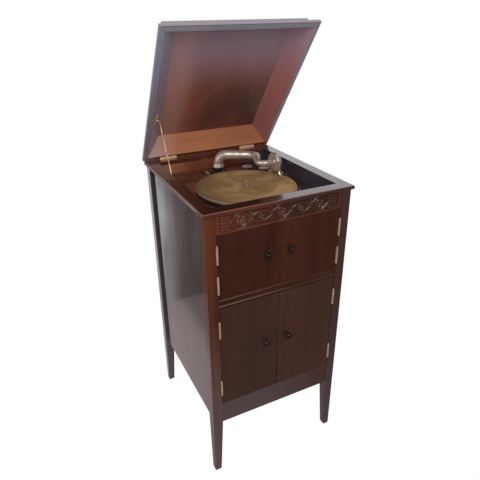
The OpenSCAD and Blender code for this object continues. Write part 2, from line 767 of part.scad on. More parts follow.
// Crown wheel on the winding arbor: its teeth stand up and narrow towards the arbor
crown_z = 748;
crown_top = 755.6;
crown_teeth = 36;
module winding_gear() {
    half = 1.7;
    color(c_steel) translate([barrel_x, barrel_y, 0]) {
        translate([0, 0, plate_low]) cylinder(r = 4, h = 8);
        translate([0, 0, plate_low + plate_t + 0.5]) cylinder(r = 5, h = plate_high - plate_low - plate_t - 1);
        translate([0, 0, plate_high - 2]) cylinder(r = 4, h = plate_t + 1);
        difference() {
            translate([0, 0, crown_z]) cylinder(r = 28, h = 5);
            for (i = [0:4]) rotate([0, 0, 72 * i]) translate([12, 0, crown_z - 1]) cylinder(r = 3.4, h = 8);
        }
        for (i = [0:crown_teeth - 1]) rotate([0, 0, 360 / crown_teeth * i]) translate([0, 0, crown_z + 4])
            linear_extrude(crown_top - crown_z - 4) polygon([
                20.5 * [cos(half), -sin(half)], 27.5 * [cos(half), -sin(half)],
                27.5 * [cos(half), sin(half)], 20.5 * [cos(half), sin(half)]
            ]);
    }
}
// Three weights on spring blades between two collars, with a brake disc below
module governor() {
    weight_z = 790;
    shaft_r = 1.6;
    reach = 11;
    color(c_brass) translate([governor_x, governor_y, 0]) {
        translate([0, 0, plate_low]) cylinder(r = shaft_r, h = plate_high + plate_t - plate_low - 0.5);
        translate([0, 0, wheel_z - 2]) gear(governor_teeth, wheel_m, 9, 15);
        translate([0, 0, 757.5]) cylinder(r = 12, h = 2.5);
        for (z = [762, 811]) translate([0, 0, z]) cylinder(r = 5, h = 7);
        for (i = [0:2]) rotate([0, 0, 120 * i]) {
            translate([reach, 0, weight_z]) sphere(r = 5.2, $fn = 32);
            translate([0, 2, 0]) rotate([90, 0, 0]) linear_extrude(4) polygon([
                [3.4, 765.5], [4.2, 765.2], [reach, weight_z - 2.5], [reach, weight_z + 2.5],
                [4.2, 814.8], [3.4, 814.5], [reach - 0.8, weight_z + 2.2], [reach - 0.8, weight_z - 2.2]
            ]);
        }
    }
}
module motor_frame() {
    x0 = -84;
    x1 = 60;
    y0 = -96;
    y1 = 54;
    color(c_black) {
        difference() {
            union() {
                box([x0, y0, plate_low], [x1, y1, plate_low + plate_t]);
                box([x0, y0, plate_high], [x1, y1, plate_high + plate_t]);
                for (x = [x0 + 9, x1 - 9], y = [y0 + 9, y1 - 9])
                    translate([x, y, plate_low + 1]) cylinder(r = 5, h = plate_high - plate_low);
                box([x1 - 14, crank_y - 9, plate_low + 1], [x1, crank_y + 9, crank_z + 10]);
            }
            translate([0, -table_y, plate_low - 1]) cylinder(r = 3 + run_fit, h = plate_t + 2);
            translate([0, -table_y, plate_high - 1]) cylinder(r = 4 + run_fit, h = plate_t + 2);
            for (z = [plate_low, plate_high]) {
                translate([barrel_x, barrel_y, z - 1]) cylinder(r = 4 + run_fit, h = plate_t + 2);
                translate([governor_x, governor_y, z - 1]) cylinder(r = 1.6 + run_fit, h = plate_t + 2);
            }
            translate([x1 - 20, crank_y, crank_z]) rotate([0, 90, 0]) cylinder(r = crank_r + run_fit, h = 24);
        }
    }
}

/* Winding crank on the right-hand side */
crank_arm = 118;
crank_x = 228;
crank_pinion = 12;
module crank() {
    color(c_nickel) translate([0, crank_y, crank_z]) {
        translate([barrel_x + 27, 0, 0]) rotate([0, 90, 0]) cylinder(r = crank_r, h = crank_x - barrel_x - 20);
        translate([barrel_x + 21, 0, 0]) rotate([0, 90, 0]) {
            cylinder(r = 5.6, h = 12);
            for (i = [0:crank_pinion - 1]) rotate([0, 0, 360 / crank_pinion * (i + 0.5)])
                box([0, -0.45, 0.2], [8.2, 0.45, 5.4]);
        }
        translate([crank_x, 0, 0]) rotate([0, 90, 0]) cylinder(r = 9, h = 14);
        translate([crank_x + 4, 0, 0]) rotate([90, 0, 90]) linear_extrude(7)
            polygon([[-8, 0], [8, 0], [6, -crank_arm], [-6, -crank_arm]]);
        translate([crank_x + 4, 0, -crank_arm]) rotate([0, 90, 0]) {
            cylinder(r = 8, h = 7);
            cylinder(r = 3, h = 86);
            translate([0, 0, 83]) cylinder(r = 5.5, h = 4);
        }
    }
}
module crank_handle() {
    profile = concat(
        [[3 + run_fit, 0], [9, 0], [10.5, 2]],
        [for (i = [1:11]) [9 + 3.4 * sin(15 * i), 2 + 68 * i / 12]],
        [[9.4, 70], [8, 73.4], [3 + run_fit, 73.4]]
    );
    color(c_black) translate([crank_x + 12.5, crank_y, crank_z - crank_arm]) rotate([0, 90, 0])
        rotate_extrude() polygon(profile);
}
module crank_escutcheon() {
    color(c_brass) translate([panel_out, crank_y, crank_z]) rotate([0, 90, 0]) difference() {
        union() {
            cylinder(r = 20, h = 2);
            translate([0, 0, 2]) cylinder(r1 = 14, r2 = 11, h = 3.4);
            translate([0, 0, -panel_t - 2]) cylinder(r = bush_r, h = panel_t + 3);
        }
        translate([0, 0, -panel_t - 3]) cylinder(r = crank_r + run_fit, h = panel_t + 12);
        for (i = [0:2]) rotate([0, 0, 120 * i + 30]) translate([17, 0, -1]) cylinder(r = 1.6, h = 4);
    }
}

/* Tonearm */
base_z = board_top;
base_screw_z = 3.3;
base_r = 27;
boss_top = base_z + 14;
spigot_r = 13;
elbow_r = 28;
tube_r1 = 15.6;
tube_r2 = 13.2;
swan_r = 27;
swan_dip = -2;
swan_turn = 87;
neck_r = 9.3;
neck_len = 57;
neck_bend = 22.5;
neck_turn = 124;
neck_roll = -1;
module at_arm() { translate([arm_x, arm_y, 0]) rotate([0, 0, -arm_yaw]) children(); }
// The frame at the joint of tube and gooseneck, +X out of the tube
module at_joint() {
    at_arm() translate([arm_reach, 0, arm_z]) rotate([180 + swan_dip, 0, 0])
        translate([swan_r * sin(swan_turn), swan_r * (1 - cos(swan_turn)), 0]) rotate([0, 0, swan_turn]) children();
}
// The frame at the back of the soundbox, +X through its middle
module at_soundbox() {
    at_joint() translate([neck_len, 0, 0]) rotate([180 + neck_roll, 0, 0])
        translate([neck_bend * sin(neck_turn), neck_bend * (1 - cos(neck_turn)), 0]) rotate([0, 0, neck_turn])
            translate([collar_len, 0, 0]) children();
}
collar_len = 13;
// Step in radius where a straight run enters a bend
seam = 0.08;
module tonearm_base() {
    color(c_black) translate([arm_x, arm_y, base_z]) difference() {
        union() {
            cylinder(r = base_r, h = 3);
            translate([0, 0, 3]) cylinder(r1 = base_r - 1, r2 = 20, h = 2.5);
            cylinder(r = 19, h = boss_top - base_z);
        }
        translate([0, 0, -1]) cylinder(r = spigot_r + run_fit, h = 20);
        for (i = [0:2]) rotate([0, 0, 120 * i - 70]) translate([base_r - 4.5, 0, -1]) {
            cylinder(r = 1.6, h = 8);
            translate([0, 0, base_screw_z + 1]) cylinder(r = 3.3, h = 4);
        }
    }
}
module tonearm_tube() {
    z0 = boss_top + 0.4;
    color(c_nickel) at_arm() difference() {
        union() {
            translate([0, 0, base_z + 1]) cylinder(r = spigot_r, h = boss_top - base_z);
            translate([0, 0, z0]) cylinder(r = 19.6, h = 2.6);
            translate([0, 0, z0 + 2.6]) cylinder(r1 = 18.6, r2 = tube_r1 + 0.4, h = arm_z - elbow_r - z0 - 2.6);
            translate([0, 0, arm_z - elbow_r]) rotate([-90, -90, 0]) bend(elbow_r, tube_r1, 90);
            translate([elbow_r, 0, arm_z]) rotate([0, 90, 0]) {
                cylinder(r1 = tube_r1 - seam, r2 = tube_r2 - seam, h = arm_reach - elbow_r + 1);
                translate([0, 0, -1.2]) cylinder(r = tube_r1 + 0.7, h = 2.4);
            }
            translate([arm_reach, 0, arm_z]) rotate([180 + swan_dip, 0, 0]) bend(swan_r, tube_r2, swan_turn);
            translate([arm_reach, 0, arm_z]) rotate([180 + swan_dip, 0, 0])
                translate([swan_r * sin(swan_turn), swan_r * (1 - cos(swan_turn)), 0])
                rotate([0, 0, swan_turn]) translate([-3, 0, 0]) rotate([0, 90, 0])
                cylinder(r = tube_r2 + 0.6, h = 3);
        }
        translate([arm_reach, 0, arm_z]) rotate([180 + swan_dip, 0, 0])
            translate([swan_r * sin(swan_turn), swan_r * (1 - cos(swan_turn)), 0])
            rotate([0, 0, swan_turn]) translate([-8, 0, 0]) rotate([0, 90, 0])
            cylinder(r = 6 + run_fit, h = 10);
    }
}
module gooseneck() {
    color(c_nickel) at_joint() {
        translate([-7, 0, 0]) rotate([0, 90, 0]) cylinder(r = 6, h = 9);
        translate([0.35, 0, 0]) rotate([0, 90, 0]) cylinder(r = 12.6, h = 3);
        translate([3.3, 0, 0]) rotate([0, 90, 0]) cylinder(r1 = 11.6, r2 = neck_r, h = 6);
        translate([8, 0, 0]) rotate([0, 90, 0]) cylinder(r = neck_r - seam, h = neck_len - 7);
        translate([neck_len, 0, 0]) rotate([180 + neck_roll, 0, 0]) bend(neck_bend, neck_r, neck_turn);
    }
    color(c_nickel) at_soundbox() for (i = [0:3]) translate([-collar_len - 0.5 + 3.3 * i, 0, 0])
        rotate([0, 90, 0]) cylinder(r = i % 2 == 0 ? neck_r + 1.6 : neck_r + 0.5, h = 3.5);
}

/* Soundbox: the case opens away from the neck */
box_r = soundbox_d / 2;
module soundbox() {
    profile = [
        [0, 0.1], [neck_r + 3, 0.1], [neck_r + 3, 2.2], [box_r - 6, 3.4], [box_r - 2, 4.8],
        [box_r, 7], [box_r, 13], [box_r - 0.8, 14.2], [box_r - 3.6, 14.2], [box_r - 4.6, 12.6],
        [box_r - 4.6, 9.4], [0, 9.4]
    ];
    color(c_nickel) at_soundbox() rotate([0, 90, 0]) difference() {
        rotate_extrude($fn = 96) polygon(profile);
        for (i = [0:11]) rotate([0, 0, 30 * i + 15]) translate([box_r - 1.8, 0, 12.4]) cylinder(r = 0.8, h = 3);
    }
}
module soundbox_diaphragm() {
    color([0.78, 0.76, 0.70]) at_soundbox() translate([9.6, 0, 0]) rotate([0, 90, 0])
        cylinder(r = box_r - 4.8, h = 0.8);
}
needle_lean = 35.2;
needle_x = 12.5;
chuck_out = 14.5;
needle_out = 8.1;
// The frame of stylus bar and needle, leaning in the plane of the diaphragm
module at_needle() { at_soundbox() rotate([-needle_lean, 0, 0]) translate([needle_x, 0, 0]) children(); }
module stylus_bar() {
    bar_x = 4.4;
    color(c_steel) at_needle() {
        translate([-1.8, 0, 0]) rotate([0, 90, 0]) cylinder(r = 2.2, h = bar_x + 1.8);
        translate([bar_x, 0, -box_r - 2]) cylinder(r1 = 2.4, r2 = 1.5, h = box_r + 3);
        box([-2.5, -3, -box_r - 4.5], [bar_x + 2.4, 3, -box_r - 0.8]);
        translate([0, 0, -box_r - chuck_out]) cylinder(r = 3.2, h = chuck_out - 3);
        translate([0, 0, -box_r - 10.5]) rotate([0, 90, 0]) cylinder(r = 1.3, h = 9);
        translate([8, 0, -box_r - 10.5]) rotate([0, 90, 0]) cylinder(r = 3.6, h = 2.2);
    }
}
module needle() {
    color(c_steel) at_needle() translate([0, 0, -box_r - chuck_out - needle_out]) {
        translate([0, 0, 3]) cylinder(r = 0.75, h = needle_out - 3);
        cylinder(r1 = 0.2, r2 = 0.75, h = 3.01);
    }
}

/* Fittings on the motor board */
module cup(x, y, r) {
    profile = [[0, 0], [r - 7, 0], [r - 4, 1.6], [r - 1.5, 4.6], [r, 5], [r, 6], [r - 2.2, 5.8],
        [r - 5, 2.8], [r - 8, 1.4], [0, 1.4]];
    translate([x, y, board_top]) rotate_extrude($fn = 64) polygon(profile);
}
module needle_cups() {
    color(c_nickel) {
        cup(98, 148, 17.5);
        cup(136, 108, 16);
    }
}
// Round-headed screws of the tonearm's base and of the motor board
module board_screws() {
    head = 3;
    color(c_nickel) {
        for (i = [0:2]) translate([arm_x, arm_y, base_z]) rotate([0, 0, 120 * i - 70])
            translate([base_r - 4.5, 0, 0]) screw_head(head, base_screw_z);
        for (x = [-1, 1], y = [-195, 30, 195]) translate([x * (well_x - 12), y, board_top]) screw_head(3.6, 0);
    }
}
// A slotted round head of radius r whose underside is at z
module screw_head(r, z) {
    difference() {
        union() {
            translate([0, 0, z + 0.6 - r]) intersection() {
                sphere(r = r * 1.2, $fn = 32);
                translate([0, 0, r - 0.6]) cylinder(r = r, h = r);
            }
            cylinder(r = r / 2.2, h = z + 0.6);
        }
        translate([-r - 1, -0.35, z + 0.2 * r]) cube([2 * r + 2, 0.7, r]);
    }
}
dial_x = -46;
dial_y = 160;
module speed_dial() {
    color(c_black) translate([dial_x, dial_y, board_top]) {
        ring(16, 6, 1.4);
        cylinder(r = 7, h = 1.2);
        cylinder(r = 2, h = 7);
        for (i = [-4:4]) rotate([0, 0, 14 * i - 90]) box([12.4, -0.3, 1], [14.8, 0.3, 1.8]);
    }
}
module speed_lever() {
    color(c_nickel) translate([dial_x, dial_y, board_top + 2.1]) {
        ring(5, 2 + run_fit, 3.4);
        rotate([0, 0, -90]) {
            box([4.4, -1.6, 0.6], [20, 1.6, 2.4]);
            translate([19, 0, 0.4]) cylinder(r = 3.6, h = 5);
        }
    }
}
brake_x = 143;
brake_y = 75;
brake_turn = 242;
module brake_bracket() {
    color(c_nickel) translate([brake_x, brake_y, board_top]) {
        rotate([0, 0, 50]) box([-9, -7, 0], [18, 7, 1.6]);
        cylinder(r = 5, h = 3.2);
        cylinder(r = 2, h = 10);
    }
}
module brake_lever() {
    tail = 13.5;
    color(c_nickel) translate([brake_x, brake_y, board_top + 3.6]) {
        ring(5, 2 + run_fit, 4);
        rotate([0, 0, brake_turn]) {
            box([4.4, -2, 0.6], [28, 2, 3]);
            translate([28, 0, 0]) cylinder(r = 3, h = 6.4);
        }
        rotate([0, 0, brake_turn - 150]) {
            box([4.4, -2, 0.6], [tail, 2, 3]);
            translate([tail, 0, 0.6]) cylinder(r = 2, h = 5);
            translate([tail, 0, 7]) sphere(r = 3.4, $fn = 24);
        }
    }
}

front_posts();
rear_posts();
side_panel_left();
side_panel_right();
back_panel();
rim_moulding();
well_lining();
frieze_rail();
mid_rail();
apron_rail();
bottom_board();
shelf_board();
record_dividers();
motor_board();
horn();
horn_throat();
cabinet_hinge_leaves();
lid_hinge_frame_leaves();
stay_track();
tonearm_base();
needle_cups();
board_screws();
speed_dial();
brake_bracket();
motor_frame();
crank_escutcheon();
lid_frame();
lid_panel();
lid_hinge_lid_leaves();
stay_bracket();
lid_stay();
upper_left_door();
upper_right_door();
lower_left_door();
lower_right_door();
upper_left_knob();
upper_right_knob();
lower_left_knob();
lower_right_knob();
upper_left_hinges();
upper_right_hinges();
lower_left_hinges();
lower_right_hinges();
platter();
platter_felt();
spindle();
tonearm_tube();
gooseneck();
soundbox();
soundbox_diaphragm();
stylus_bar();
needle();
crank();
crank_handle();
winding_gear();
spring_barrel();
governor();
speed_lever();
brake_lever();
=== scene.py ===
# %% [markdown]
# # A cabinet gramophone, in cells
#
# The cabinet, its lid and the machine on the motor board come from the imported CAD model. This lesson gives them
# their finishes, carves the rail under the rim, lays the felt, drives the screws, and lights the whole like a
# small photo studio. Every length is in metres, in the frame of the CAD model: the doors face -Y, and +Z is up.

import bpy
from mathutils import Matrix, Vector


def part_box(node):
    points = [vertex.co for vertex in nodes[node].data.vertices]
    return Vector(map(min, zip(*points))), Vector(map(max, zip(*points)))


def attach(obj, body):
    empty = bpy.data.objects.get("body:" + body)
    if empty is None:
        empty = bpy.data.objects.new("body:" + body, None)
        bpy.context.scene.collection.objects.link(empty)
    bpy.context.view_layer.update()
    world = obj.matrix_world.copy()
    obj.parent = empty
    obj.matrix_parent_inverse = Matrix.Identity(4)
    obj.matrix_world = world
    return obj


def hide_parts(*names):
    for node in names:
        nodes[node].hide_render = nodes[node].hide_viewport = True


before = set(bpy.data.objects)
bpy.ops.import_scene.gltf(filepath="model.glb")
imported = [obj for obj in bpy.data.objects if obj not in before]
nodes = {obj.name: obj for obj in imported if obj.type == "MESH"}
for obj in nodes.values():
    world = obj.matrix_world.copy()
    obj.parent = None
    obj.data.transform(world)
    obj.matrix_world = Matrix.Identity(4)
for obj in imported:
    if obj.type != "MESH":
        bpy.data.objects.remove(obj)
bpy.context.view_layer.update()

# %% [markdown]
# ## Helpers
#
# Blender keeps a material as a graph of nodes. Short helpers write such a graph in a readable way: they add a node
# and set what is constant on it, join two sockets, or put one sum, blend or pattern after another. The same helpers
# serve the node groups further down, and a few more make objects out of finished meshes.

# %% Helpers for node graphs
from math import asin, atan2, cos, pi, radians, sin

import bmesh
import bpy
import numpy as np
from mathutils import Matrix, Vector

MM = 0.001


def add(tree, kind, **settings):
    """A node. A bare kind is a shader node's. A setting sets the socket of that name, or else the property."""
    made = tree.nodes.new(kind if "Node" in kind else "ShaderNode" + kind)
    for name, value in settings.items():
        socket = made.inputs.get(name.replace("_", " "))
        if socket is None:
            setattr(made, name, value)
        else:
            socket.default_value = value
    return made


def join(source, target):
    """Joins two sockets. Like every socket, they know the tree that they are in."""
    source.id_data.links.new(source, target)


def feed(node, **sources):
    """Joins each source to the node's socket of that name."""
    for name, source in sources.items():
        join(source, node.inputs[name.replace("_", " ")])


def fill(socket, value):
    """Joins a source to a socket, or sets the socket where the value is a plain one."""
    if isinstance(value, bpy.types.NodeSocket):
        join(value, socket)
    else:
        socket.default_value = value


def tree_of(*values):
    """The tree of the first socket among sockets and plain numbers."""
    return next(value.id_data for value in values if isinstance(value, bpy.types.NodeSocket))


# %% Helpers for sums and colours
def maths(operation, a, b=0.0, clamp=False):
    """The output of a Math node whose inputs are sockets or plain numbers."""
    made = add(tree_of(a, b), "Math", operation=operation, use_clamp=clamp)
    fill(made.inputs[0], a)
    fill(made.inputs[1], b)
    return made.outputs[0]


def times(a, b, clamp=False):
    return maths("MULTIPLY", a, b, clamp)


def plus(a, b, clamp=False):
    return maths("ADD", a, b, clamp)


def minus(a, b):
    return maths("SUBTRACT", a, b)


def between(share, a, b):
    """The number a where share is 0, b where it is 1."""
    return plus(times(a, minus(1.0, share)), times(b, share))


def blend_colours(share, a, b):
    """The output of a colour Mix node: a where share is 0, b where it is 1."""
    made = add(share.id_data, "Mix", data_type="RGBA")
    for socket, value in ((0, share), (6, a), (7, b)):
        fill(made.inputs[socket], value)
    return made.outputs[2]


def ramp(source, low, high, to_low=0.0, to_high=1.0):
    """Maps low..high to to_low..to_high with soft ends."""
    made = add(source.id_data, "MapRange", interpolation_type="SMOOTHSTEP",
               From_Min=low, From_Max=high, To_Min=to_low, To_Max=to_high)
    feed(made, Value=source)
    return made.outputs["Result"]


# %% Helpers for patterns and places
def noise(vector, scale, detail, distortion=0.0):
    """The value of a Noise texture, which lies about one half."""
    made = add(vector.id_data, "TexNoise", Scale=scale, Detail=detail, Distortion=distortion)
    feed(made, Vector=vector)
    return made.outputs["Fac"]


def place_on(tree):
    """The Object coordinates: where a point is, in the frame of the CAD model."""
    return add(tree, "TexCoord").outputs["Object"]


def split(vector):
    """The vector's three numbers, as outputs X, Y and Z."""
    made = add(vector.id_data, "SeparateXYZ")
    feed(made, Vector=vector)
    return made.outputs


def combine(**numbers):
    """A vector from the outputs that are given as X, Y and Z."""
    made = add(tree_of(*numbers.values()), "CombineXYZ")
    feed(made, **numbers)
    return made.outputs["Vector"]


def stretch(vector, scale=(1, 1, 1), turn=(0, 0, 0), place=(0, 0, 0)):
    """The vector through a Mapping node."""
    made = add(vector.id_data, "Mapping", Scale=scale, Rotation=turn, Location=place)
    feed(made, Vector=vector)
    return made.outputs["Vector"]


def roughen(shader, height, strength, distance):
    """Gives a shader a fine relief, by a Bump node."""
    relief = add(shader.id_data, "Bump", Strength=strength, Distance=distance)
    feed(relief, Height=height)
    feed(shader, Normal=relief.outputs["Normal"])


# %% Helpers for groups and materials
def new_group(name, colours, numbers, outputs):
    """A shader node group for a vector, colours and numbers with a default: its tree, inputs and outputs."""
    tree = bpy.data.node_groups.new(name, "ShaderNodeTree")
    tree.interface.new_socket("Vector", in_out="INPUT", socket_type="NodeSocketVector")
    for label in colours:
        tree.interface.new_socket(label, in_out="INPUT", socket_type="NodeSocketColor")
    for label, value in numbers.items():
        tree.interface.new_socket(label, in_out="INPUT", socket_type="NodeSocketFloat").default_value = value
    for label in outputs:
        kind = "Color" if label == "Color" else "Float"
        tree.interface.new_socket(label, in_out="OUTPUT", socket_type="NodeSocket" + kind)
    return tree, tree.nodes.new("NodeGroupInput").outputs, tree.nodes.new("NodeGroupOutput").inputs


def place_group(group, vector, **values):
    """The outputs of a group that is set on a vector, with what is constant on it."""
    made = add(vector.id_data, "Group", node_tree=group, **values)
    feed(made, Vector=vector)
    return made.outputs


def new_material(name, **shader):
    """An empty material with a Principled shader: its tree and the shader node."""
    made = bpy.data.materials.new(name)
    made.use_nodes = True
    tree = made.node_tree
    principled = tree.nodes["Principled BSDF"]
    for label, value in shader.items():
        principled.inputs[label.replace("_", " ")].default_value = value
    return made, tree, principled


def rgb(red, green, blue):
    """A colour written as the eight-bit sRGB numbers of a paint chart, as Blender's linear colour."""
    shares = [c / 255 for c in (red, green, blue)]
    return tuple(c / 12.92 if c <= 0.04 else ((c + 0.055) / 1.055) ** 2.4 for c in shares) + (1.0,)


# %% Helpers for objects
def give(piece, material):
    """Makes this the piece's only material."""
    piece.data.materials.clear()
    piece.data.materials.append(material)


def new_object(name, data):
    """A new object in the scene."""
    made = bpy.data.objects.new(name, data)
    bpy.context.scene.collection.objects.link(made)
    return made


def object_of(bm, name):
    """Turns a finished bmesh into an object."""
    mesh = bpy.data.meshes.new(name)
    bm.to_mesh(mesh)
    bm.free()
    return new_object(name, mesh)


def finished_mesh(piece):
    """The mesh that a piece has once its modifiers have run."""
    return bpy.data.meshes.new_from_object(piece.evaluated_get(bpy.context.evaluated_depsgraph_get()))


# %% [markdown]
# ## Mahogany
#
# The case is Cuban mahogany under old gloss varnish: a red-brown ground, long darker ribbons, short dark pores
# along the grain, and a varnish that has worn on the edges. Grain is noise that is drawn out along one direction.
# Every board needs it, each with its own direction and stain, so it becomes a node group. The group takes a vector
# whose Z axis runs along the grain, and each material turns its Object coordinates so that this is true.

# %% The grain of mahogany, as a node group
grain, given, out = new_group("Mahogany grain", ("Deep", "Ground", "Light"), {"Figure": 1.0}, ("Color", "Height"))
waver = noise(stretch(given["Vector"], (1, 1, 0.25)), 3.0, 2.0)
bent = add(grain, "VectorMath", operation="MULTIPLY_ADD")
for socket, value in enumerate((combine(X=waver, Y=waver), (0.06, 0.06, 0), given["Vector"])):
    fill(bent.inputs[socket], value)
ribbons, flame, fibres, pore_dots = (
    noise(stretch(bent.outputs[0], (1, 1, drawn_out)), scale, detail, distortion)
    for drawn_out, scale, detail, distortion in
    ((0.035, 26.0, 3.0, 0.4), (0.22, 6.5, 3.0, 1.1), (0.018, 260.0, 3.0, 0.0), (0.05, 900.0, 1.0, 0.0))
)
pores = ramp(pore_dots, 0.62, 0.70)
tone = plus(times(ramp(ribbons, 0.32, 0.68), 0.5), times(ramp(flame, 0.3, 0.7), 0.5))
tone = plus(times(minus(tone, 0.5), given["Figure"]), 0.5, clamp=True)
low_half = blend_colours(times(tone, 2.0, clamp=True), given["Deep"], given["Ground"])
body = blend_colours(times(minus(tone, 0.5), 2.0, clamp=True), low_half, given["Light"])
threads = times(ramp(fibres, 0.35, 0.65, 0.3, 0.0), given["Figure"])
fine = blend_colours(threads, body, given["Deep"])
join(blend_colours(times(pores, 0.55), fine, given["Deep"]), out["Color"])
join(minus(times(fibres, 0.4), pores), out["Height"])
print("grain group:", len(grain.nodes), "nodes")

# %% [markdown]
# ## Wear on edges
#
# Polish wears first where hands and cloths meet a corner. The Bevel node looks around a point and returns the
# normal that a rounded corner would have. Where that differs from the true normal, there is an edge, so the
# difference is a mask. Noise breaks the mask up, because wear is never an even line. A second group makes the haze
# of old varnish, which is only a change of roughness.

# %% Edge wear and haze, as node groups
EDGE_WIDTH = 0.0012
edges, given, out = new_group("Edge wear", (), {}, ("Wear",))
alike = add(edges, "VectorMath", operation="DOT_PRODUCT")
join(add(edges, "Bevel", samples=4, Radius=EDGE_WIDTH).outputs[0], alike.inputs[0])
join(add(edges, "NewGeometry").outputs["Normal"], alike.inputs[1])
on_edge = ramp(minus(1.0, alike.outputs["Value"]), 0.03, 0.22)
patches = ramp(noise(given["Vector"], 38.0, 4.0), 0.38, 0.62)
join(times(on_edge, patches), out["Wear"])

haze, given, out = new_group("Varnish haze", (), {"Low": 0.12, "High": 0.3}, ("Roughness",))
clouds = ramp(noise(given["Vector"], 5.0, 5.0, 0.3), 0.35, 0.7)
rubbed = noise(stretch(given["Vector"], (1, 1, 0.2)), 60.0, 3.0)
mask = plus(times(clouds, 0.75), times(rubbed, 0.25), clamp=True)
join(plus(times(mask, minus(given["High"], given["Low"])), given["Low"]), out["Roughness"])
print("edge and haze groups ready")

# %% [markdown]
# ## Boards, their stain, and painted light and shade
#
# One function makes a varnished wood. `turn` is the rotation that brings the grain onto Z: none for upright
# boards, a quarter turn about Y for rails that run left to right, a quarter turn about X for boards that run from
# front to back. The lid leans back, so its boards lean the pattern with it.
#
# No stain is even after a hundred years, and most tints below are painted light, shade and reflection rather than
# stain.
# `tinted` lays a second colour over a finished wood through a mask, and a mask is a small function of the place on the
# object: `along` rises from one place on an axis to another, `both` multiplies two masks, and `inside` keeps one to
# the inner face of the lid. So one board can be painted grey at its top, as a reflection, and red below.

# %% Varnished mahogany
UPRIGHT, ACROSS, FORE_AND_AFT = (0, 0, 0), (0, pi / 2, 0), (pi / 2, 0, 0)
WORN = rgb(150, 92, 58)


def varnished(name, stain, turn, coat, gloss=(0.12, 0.3), specular=0.5, figure=1.0, wear=0.5, bump=0.12):
    """A mahogany in a stain of three colours: deep, ground and light."""
    made, tree, shader = new_material(
        "mahogany " + name, Specular_IOR_Level=specular, Coat_Roughness=0.08, Coat_Weight=coat
    )
    deep, ground, light = (rgb(*colour) for colour in stain)
    where = place_on(tree)
    with_grain = stretch(where, turn=turn)
    wood = place_group(grain, with_grain, Deep=deep, Ground=ground, Light=light, Figure=figure)
    worn = times(place_group(edges, where)["Wear"], wear)
    film = place_group(haze, with_grain, Low=gloss[0], High=gloss[1])
    feed(shader, Base_Color=blend_colours(worn, wood["Color"], WORN), Roughness=film["Roughness"])
    roughen(shader, wood["Height"], bump, 0.0002)
    return made


def tinted(material, mask_of, colour):
    """Lays a colour over a finished wood by a mask made from the place: mask_of(x, y, z)."""
    tree = material.node_tree
    base = tree.nodes["Principled BSDF"].inputs["Base Color"]
    under = base.links[0].from_socket
    mask = mask_of(*split(place_on(tree)))
    join(blend_colours(mask, under, rgb(*colour)), base)


# %% Stains and woods
LID_OPEN = 54.2
LEANING = (radians(LID_OPEN - 90), 0, 0)
DARK_RED = (32, 13, 10), (58, 27, 20), (84, 40, 27)
DOOR_RED = (44, 20, 15), (66, 33, 24), (86, 44, 31)
LOW_RED = (50, 32, 26), (70, 45, 37), (88, 57, 46)
POST_RED = (58, 27, 17), (96, 50, 33), (124, 68, 42)
WARM_RED = (62, 28, 18), (104, 52, 34), (146, 86, 52)
LID_RED = (112, 60, 46), (146, 82, 62), (170, 104, 76)
GOLD_RED = (150, 90, 58), (198, 130, 88), (222, 158, 110)
RIM_RED = (24, 10, 8), (44, 20, 15), (64, 30, 21)
wood_doors = varnished("upper doors", DOOR_RED, UPRIGHT, coat=0.25, specular=0.3, figure=0.5)
wood_low_doors = varnished("lower doors", LOW_RED, UPRIGHT, coat=0.25, specular=0.3, figure=0.4)
wood_posts = varnished("front posts", POST_RED, UPRIGHT, coat=0.4)
wood_sides, wood_rear_posts = (
    varnished(name, DARK_RED, UPRIGHT, coat=1.0, gloss=(0.18, 0.28), bump=0.02) for name in ("sides", "rear posts")
)
wood_rails = varnished("rails", DOOR_RED, ACROSS, coat=0.4, wear=0.9)
wood_apron = varnished("apron", DOOR_RED, ACROSS, coat=0.4)
wood_carved = varnished("carving", POST_RED, ACROSS, coat=0.9, gloss=(0.14, 0.24), wear=0.0, figure=0.5)
wood_rim = varnished("rim", RIM_RED, ACROSS, coat=1.0, gloss=(0.1, 0.2))
# The rim's outer faces are painted lighter than its dark top, as painted light, and the round of their upper edge
# lighter still, as a painted highlight
wood_rim_edge = varnished("rim edge", POST_RED, ACROSS, coat=0.5, gloss=(0.2, 0.35), figure=0.5)
wood_rim_highlight = varnished("rim highlight", LID_RED, ACROSS, coat=0.6, gloss=(0.2, 0.35), figure=0.5)
wood_board = varnished("motor board", WARM_RED, ACROSS, coat=0.5)
wood_lining = varnished("lining", WARM_RED, FORE_AND_AFT, coat=0.2, gloss=(0.25, 0.4))
wood_inner = varnished("inside", WARM_RED, FORE_AND_AFT, coat=0.1, gloss=(0.4, 0.6))
wood_lid = varnished("lid", POST_RED, ACROSS, coat=1.0, gloss=(0.16, 0.26), figure=0.7, bump=0.04)
# Copies of the lid's wood for its slopes and edges, picked by the way each face turns; their colours are partly
# painted light, most of all on the rear slope, which faces the lamps and is also of a lighter wood
wood_lid_front, wood_lid_edge = (
    varnished(name, WARM_RED, ACROSS, coat=0.7, figure=0.7) for name in ("lid front", "lid edge")
)
wood_lid_side = varnished("lid sides", LID_RED, LEANING, coat=0.3, figure=0.6, gloss=(0.3, 0.45))
wood_lid_rear = varnished("lid rear slope", GOLD_RED, ACROSS, coat=0.1, specular=0.3, figure=0.6, gloss=(0.35, 0.5))
wood_panel = varnished("lid panel", LID_RED, LEANING, coat=0.3, figure=0.35, gloss=(0.36, 0.5))


# %% Masks for painted light, shade and uneven colour
def lit_bead_tops(x, y, z):
    """The tops of the beads, which face up into the light, most on the left: a painted highlight."""
    upward = split(add(x.id_data, "NewGeometry").outputs["Normal"])["Z"]
    return times(ramp(upward, 0.25, 0.9), ramp(x, 0.1, -0.16, 0.16, 0.66))


